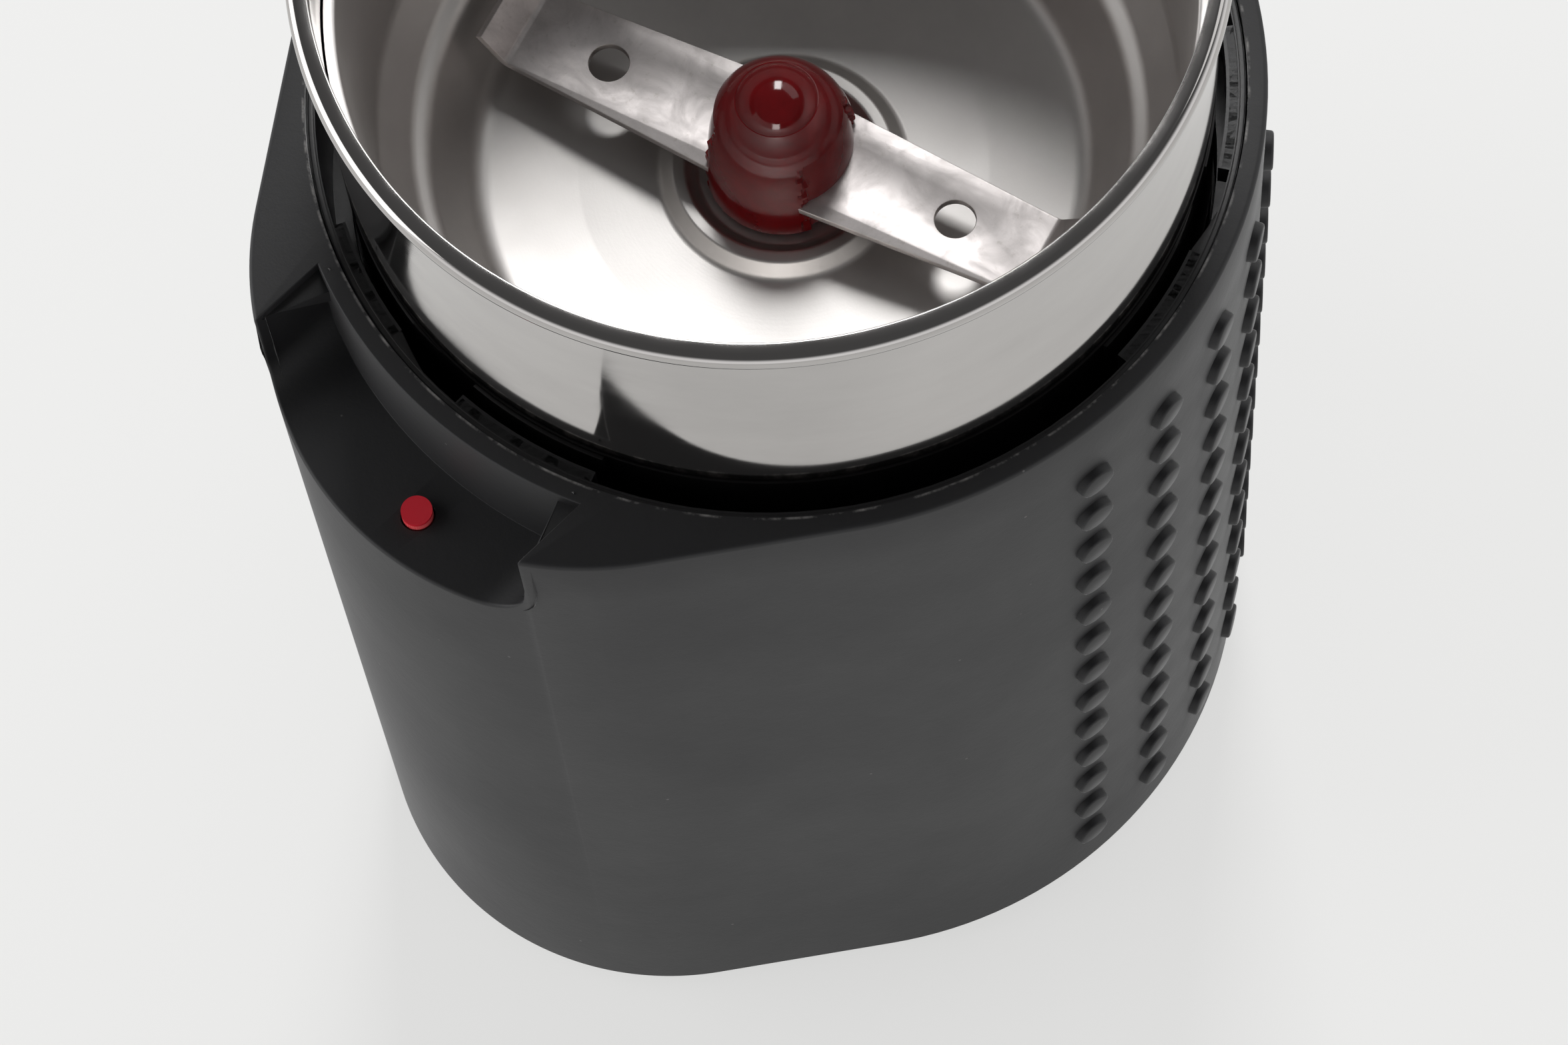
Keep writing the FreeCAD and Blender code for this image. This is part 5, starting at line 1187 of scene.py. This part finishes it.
class GRINDER_OT_switch_pin(Operator):
    """Turn the red pin of the lid switch with its chamfered top"""

    bl_idname = "grinder.switch_pin"
    bl_label = "Switch pin"

    def execute(self, context):
        settings = context.scene.grinder
        radius = settings.pin_radius
        x = (PIN_BOX[0].x + PIN_BOX[1].x) / 2
        y = PIN_BOX[0].y + radius
        top, low = PIN_BOX[1].z, BODY_TOP - settings.sleeve.notch_depth - 6 * MM
        points = [(0.0, low), (radius, low), (radius, top - 0.28 * MM), (radius - 0.22 * MM, top),
                  (0.35 * MM, top - 0.015 * MM), (0.0, top - 0.02 * MM)]
        outline = [tuple(p) for p in soften(points, [0.0, 0.12 * MM, 0.10 * MM, 0.0], 5)]
        pin = lathe("pin_top", outline, 72, (x, y))
        wear(smooth(pin, 35), pin_finish("Pin moulding", settings.looks.pin))
        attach(pin, "lid_pin")
        return {"FINISHED"}


# ---------------------------------------------------------------- base, inlet and inner pieces


def foot_shape(radius, height):
    """A rubber foot about the Z axis with a rounded sole and a shallow dimple."""
    side, top = radius / MM, height / MM
    points = [(0.0, 0.5), (2.2, 0.5), (3.0, 0.0), (side, 0.0), (side, top), (0.0, top)]
    outline = [tuple(p) for p in soften([(r * MM, z * MM) for r, z in points],
                                        [0.5 * MM, 0.5 * MM, 0.5 * MM, 0.15 * MM], 5)]
    return lathe("foot_shape", outline, 56, (0.0, 0.0))


def screw_shape(radius, length_of):
    """A pan-head screw that points up, with its thread and a cross recess below."""
    shank = 1.35 * MM
    head = [(0.0, 0.0), (radius * 0.72, 0.0), (radius, 0.95 * MM), (radius, 1.9 * MM),
            (shank, 1.95 * MM)]
    outline = soften(head, [0.4 * MM, 0.7 * MM, 0.15 * MM], 4)
    thread = ((-0.15, 0.0), (0.12, 0.25), (-0.15, 0.5))
    z = 2.2 * MM
    while z < length_of - 0.9 * MM:
        outline += [Vector((shank + depth * MM, z + rise * MM)) for depth, rise in thread]
        z += 0.55 * MM
    outline += [Vector((shank * 0.7, length_of - 0.3 * MM)), Vector((0.0, length_of))]
    screw = lathe("screw_shape", [tuple(p) for p in outline], 36, (0.0, 0.0))
    cutters = []
    for turn in (0.0, 90.0):
        work = bmesh.new()
        bmesh.ops.create_cube(work, size=1.0, matrix=Matrix.Rotation(math.radians(turn), 4, "Z")
                              @ Matrix.Diagonal((radius * 1.15, 0.5 * MM, 2.0 * MM, 1.0)))
        mesh = bpy.data.meshes.new("slot_cutter")
        work.to_mesh(mesh)
        work.free()
        cutter = bpy.data.objects.new("slot_cutter", mesh)
        bpy.context.scene.collection.objects.link(cutter)
        cutters.append(cutter)
    return smooth(drill(screw, cutters), 40)


class GRINDER_OT_base(Operator):
    """Set the rubber feet and the screws under the base plate"""

    bl_idname = "grinder.base"
    bl_label = "Feet and base screws"

    def execute(self, context):
        settings = context.scene.grinder
        sizes = settings.base
        tree = scatter_tree("Base pieces")

        def pairs(*places):
            return [(side * x, AXIS_Y + y) for x, y in places for side in (-1, 1)]

        feet = pairs((sizes.rear_foot_side, sizes.rear_foot_reach),
                     (sizes.front_foot_side, -sizes.front_foot_reach))
        screws = pairs((sizes.rear_screw_side, sizes.rear_screw_reach),
                       (sizes.front_screw_side, -sizes.front_screw_reach))
        foot = foot_shape(sizes.foot_radius, FOOT_BOX[1].z - FOOT_BOX[0].z)
        screw = screw_shape(sizes.screw_radius, SCREW_BOX[1].z - SCREW_BOX[0].z)
        rubber = moulding_finish("Foot rubber", (0.045, 0.045, 0.047), 0.62, 2400, 0.00003)
        zinc = turned_metal("Zinc plate", (0.66, 0.66, 0.65), 0.30)
        kinds = (("feet", foot, feet, FOOT_BOX[0].z, rubber, "rubber_feet"),
                 ("plate_screws", screw, screws, SCREW_BOX[0].z, zinc, "base_screws"))
        for name, shape, places, low, finish, node in kinds:
            spots = [(x, y, low, math.atan2(y, x)) for x, y in places]
            group = grow(name, tree, {"Shape": shape, "Scale": 1.0, "Finish": finish}, spots)
            bpy.data.objects.remove(shape)
            smooth(group, 40)
            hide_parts(node)
            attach(group, "body")
        plate = moulding_finish("Base moulding", (0.021, 0.021, 0.023), 0.50, 1500, 0.00004)
        wear(NODES["base_plate"], plate)
        return {"FINISHED"}


class GRINDER_OT_inlet(Operator):
    """Turn the cord inlet's bushing with its flange"""

    bl_idname = "grinder.inlet"
    bl_label = "Cord inlet"

    def execute(self, context):
        sizes = context.scene.grinder.sleeve
        wall = AXIS_Y + sizes.round_radius
        face, back = GLAND_BOX[1].y, GLAND_BOX[0].y
        bore, tube, flange = 3.2, 4.4, (GLAND_BOX[1].x - GLAND_BOX[0].x) / 2 / MM
        points = [(bore, back), (tube, back), (tube, wall + 0.1 * MM), (flange, wall + 0.1 * MM),
                  (flange, face - 0.5 * MM), (flange - 1.3, face), (bore + 0.9, face),
                  (bore, face - 0.9 * MM), (bore, back + 0.2 * MM)]
        points = [(r * MM, y) for r, y in points]
        radii = [0.3 * MM, 0.0, 0.2 * MM, 0.5 * MM, 0.5 * MM, 0.3 * MM, 0.4 * MM]
        outline = [tuple(p) for p in soften(points, radii, 5)]
        bushing = lathe("inlet_bushing", outline, 96, (0.0, 0.0))
        bushing.data.transform(Matrix.Translation((0, 0, sizes.inlet_height))
                               @ Matrix.Rotation(math.radians(-90), 4, "X"))
        smooth(tidy(bushing), 40)
        wear(bushing, moulding_finish("Bushing rubber", (0.030, 0.030, 0.032), 0.48, 2600, 0.00002))
        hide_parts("cord_gland")
        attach(bushing, "body")
        return {"FINISHED"}


class GRINDER_OT_inner(Operator):
    """Give the motor, switch and mains pieces inside the body their finishes"""

    bl_idname = "grinder.inner"
    bl_label = "Inner pieces"

    def execute(self, context):
        iron = layered_metal("Stacked sheet", (0.36, 0.36, 0.37), 0.0005)
        copper = layered_metal("Wound wire", (0.62, 0.25, 0.10), 0.0004, 0.36)
        zinc = turned_metal("Zinc screws", (0.66, 0.66, 0.64), 0.30)
        bright = turned_metal("Ground shaft", (0.74, 0.74, 0.73), 0.18, 4200)
        tin = turned_metal("Tinned terminals", (0.70, 0.69, 0.66), 0.26)
        spring = turned_metal("Spring wire", (0.52, 0.52, 0.53), 0.24, 5200)
        brass = turned_metal("Brass boxes", (0.70, 0.50, 0.20), 0.30)
        bars = turned_metal("Copper bars", (0.72, 0.33, 0.17), 0.28, 3400)
        bronze = turned_metal("Sintered bronze", (0.48, 0.32, 0.17), 0.50, 900)
        graphite = moulding_finish("Carbon", (0.030, 0.030, 0.031), 0.36, 5200, 0.00003)
        seal = moulding_finish("Seal rubber", (0.026, 0.026, 0.028), 0.58, 2600)
        pads = moulding_finish("Mount rubber", (0.040, 0.040, 0.041), 0.60, 2400)
        nylon = moulding_finish("Natural nylon", (0.62, 0.60, 0.53), 0.44, 2400)
        dark = moulding_finish("Filled moulding", (0.050, 0.048, 0.046), 0.50, 1800)
        white = moulding_finish("White moulding", (0.66, 0.66, 0.63), 0.42, 2600)
        red = moulding_finish("Plunger moulding", (0.46, 0.030, 0.026), 0.40, 2600)
        box = moulding_finish("Potted box", (0.56, 0.42, 0.13), 0.40, 2200)
        finishes = {
            iron: ("armature_core", "stator_core"),
            copper: ("armature_windings", "field_coils"),
            zinc: ("carrier_screws", "motor_screws", "mount_screws", "switch_screws",
                   "clamp_screws", "terminal_screws"),
            bright: ("drive_shaft",),
            tin: ("switch_terminals", "upper_bracket", "lower_bracket"),
            spring: ("brush_springs", "pin_spring", "microswitch_lever"),
            brass: ("brush_boxes",),
            bars: ("commutator",),
            bronze: ("upper_bearing", "lower_bearing"),
            graphite: ("carbon_brushes",),
            seal: ("shaft_seal",),
            pads: ("motor_mounts",),
            nylon: ("cooling_fan", "cord_clamp"),
            dark: ("bowl_carrier", "microswitch_body"),
            white: ("terminal_block", "hub_insert"),
            red: ("microswitch_plunger",),
            box: ("suppressor_capacitor",),
        }
        for material, names in finishes.items():
            for name in names:
                wear(NODES[name], material)
        return {"FINISHED"}


# ---------------------------------------------------------------- stage


# The photograph's lens in millimetres, and the camera's place and axes about the part.
LENS, SENSOR = 131.34, 36.0
CAMERA_PLACE = (0.15952, -0.12927, 0.51467)
CAMERA_RIGHT = (0.70841, 0.70429, -0.04609)
CAMERA_UP = (-0.63987, 0.66843, 0.37917)
CAMERA_BACK = (0.29785, -0.23912, 0.92418)
FLOOR_REACH = 6


def table_finish(name, base):
    """Pale paper floor with a faint grain, lit up a little where it is seen or mirrored."""
    made = Finish(name, IOR=1.4, Specular_IOR_Level=0.15)
    cloud = made.noise(6, 3.0, 0.5)
    made.colour(made.blend(made.span(cloud, 0.3, 0.7), shade(base, 0.985), shade(base, 1.01)))
    made.roughness(made.span(cloud, 0.3, 0.7, 0.84, 0.94))
    made.bumps((made.noise(700, 2.0, 0.6), 0.00004, 0.15))
    glow_share = 0.66
    glow = made.node("ShaderNodeEmission")
    glow.inputs["Color"].default_value = (0.93, 0.93, 0.92, 1.0)
    path = made.node("ShaderNodeLightPath")
    seen = made.math("MAXIMUM", path.outputs["Is Camera Ray"], path.outputs["Is Glossy Ray"])
    seen = made.math("MULTIPLY", seen, glow_share)
    both = made.node("ShaderNodeMixShader")
    made.wire(both.inputs[0], seen)
    made.wire(both.inputs[1], made.shader.outputs[0])
    made.wire(both.inputs[2], glow.outputs[0])
    made.wire(made.tree.nodes["Material Output"].inputs["Surface"], both.outputs[0])
    return made.material


def lamp(name, place, target, size, power, stretch=1.0):
    """A soft rectangular lamp that points from a place at a target."""
    data = bpy.data.lights.new(name, "AREA")
    data.shape = "RECTANGLE"
    data.size, data.size_y = size, size * stretch
    data.energy = power
    made = bpy.data.objects.new(name, data)
    made.location = place
    made.rotation_mode = "QUATERNION"
    made.rotation_quaternion = (Vector(target) - Vector(place)).to_track_quat("-Z", "Y")
    bpy.context.scene.collection.objects.link(made)
    return made


def studio_world(name, walls, ceiling):
    """Bright low walls all round under a dark ceiling, as in a pale cloth tent with an open top."""
    world = bpy.data.worlds.new(name)
    world.use_nodes = True
    nodes, links = world.node_tree.nodes, world.node_tree.links
    ground = nodes["Background"]
    ground.inputs["Color"].default_value = (0.99, 0.99, 1.0, 1.0)
    place = nodes.new("ShaderNodeTexCoord")
    split = nodes.new("ShaderNodeSeparateXYZ")
    links.new(place.outputs["Generated"], split.inputs[0])
    level = nodes.new("ShaderNodeMapRange")
    level.interpolation_type = "SMOOTHSTEP"
    links.new(split.outputs["Z"], level.inputs["Value"])
    ends = {"From Min": 0.25, "From Max": 0.70, "To Min": walls, "To Max": ceiling}
    for key, number in ends.items():
        level.inputs[key].default_value = number
    links.new(level.outputs["Result"], ground.inputs["Strength"])
    return world


class GRINDER_OT_stage(Operator):
    """Lay the floor and backdrop, and set the lamps, the world and the camera"""

    bl_idname = "grinder.stage"
    bl_label = "Stage"

    def execute(self, context):
        scene = context.scene
        corners = [(x * FLOOR_REACH, y * FLOOR_REACH, 0)
                   for x, y in ((-1, -1), (1, -1), (1, 1), (-1, 1))]
        sweep = mesh_piece("floor_sweep", corners, [(0, 1, 2, 3)])
        wear(sweep, table_finish("Table paper", scene.grinder.looks.table))
        middle = Vector((0, 0, 0.1))
        lamp("key_softbox", middle + Vector((-0.445, 0.495, 0.745)) * 1.1, middle, 0.24, 5.9, 1.9)
        lamp("side_fill", middle + Vector((-0.74, -0.70, 0.36)) * 1.2, middle, 1.0, 6.5)
        lamp("back_fill", middle + Vector((-0.05, 0.80, 0.68)) * 1.3, middle, 0.95, 3.0)
        scene.world = studio_world("Studio", 1.15, 0.10)
        lens = bpy.data.cameras.new("photo_camera")
        lens.lens, lens.sensor_width = LENS, SENSOR
        lens.clip_start, lens.clip_end = 0.05, 20.0
        camera = bpy.data.objects.new("photo_camera", lens)
        scene.collection.objects.link(camera)
        rows = list(zip(CAMERA_RIGHT, CAMERA_UP, CAMERA_BACK, CAMERA_PLACE))
        camera.matrix_world = Matrix(rows + [(0, 0, 0, 1)])
        scene.camera = camera
        scene.view_settings.view_transform = "Standard"
        return {"FINISHED"}


# ---------------------------------------------------------------- panel and run


STEPS = ("sleeve", "studs", "channel", "collar", "bowl", "blade", "hub", "switch_pin", "base",
         "inlet", "inner", "stage")
SIZE_GROUPS = ("sleeve", "studs", "metal", "blade", "base", "looks")


class GRINDER_PT_panel(Panel):
    """Sizes, colours and one button for each group of pieces"""

    bl_idname = "GRINDER_PT_panel"
    bl_label = "Spice Grinder"
    bl_space_type = "VIEW_3D"
    bl_region_type = "UI"
    bl_category = "Grinder"

    def draw(self, context):
        settings = context.scene.grinder
        for name in SIZE_GROUPS:
            group = getattr(settings, name)
            column = self.layout.column(align=True)
            column.label(text=name.capitalize())
            for key in group.__annotations__:
                column.prop(group, key)
        self.layout.prop(settings, "pin_radius")
        for step in STEPS:
            self.layout.operator("grinder." + step)


CLASSES = (SleeveSizes, StudSizes, MetalSizes, BladeSizes, BaseSizes, LookColours, GrinderSettings,
           GRINDER_OT_sleeve, GRINDER_OT_studs, GRINDER_OT_channel, GRINDER_OT_collar,
           GRINDER_OT_bowl, GRINDER_OT_blade, GRINDER_OT_hub, GRINDER_OT_switch_pin,
           GRINDER_OT_base, GRINDER_OT_inlet, GRINDER_OT_inner, GRINDER_OT_stage,
           GRINDER_PT_panel)


def register():
    for kind in CLASSES:
        bpy.utils.register_class(kind)
    bpy.types.Scene.grinder = PointerProperty(type=GrinderSettings)


def unregister():
    del bpy.types.Scene.grinder
    for kind in reversed(CLASSES):
        bpy.utils.unregister_class(kind)


def main():
    register()
    for step in STEPS:
        getattr(bpy.ops.grinder, step)()


if __name__ == "__main__":
    main()
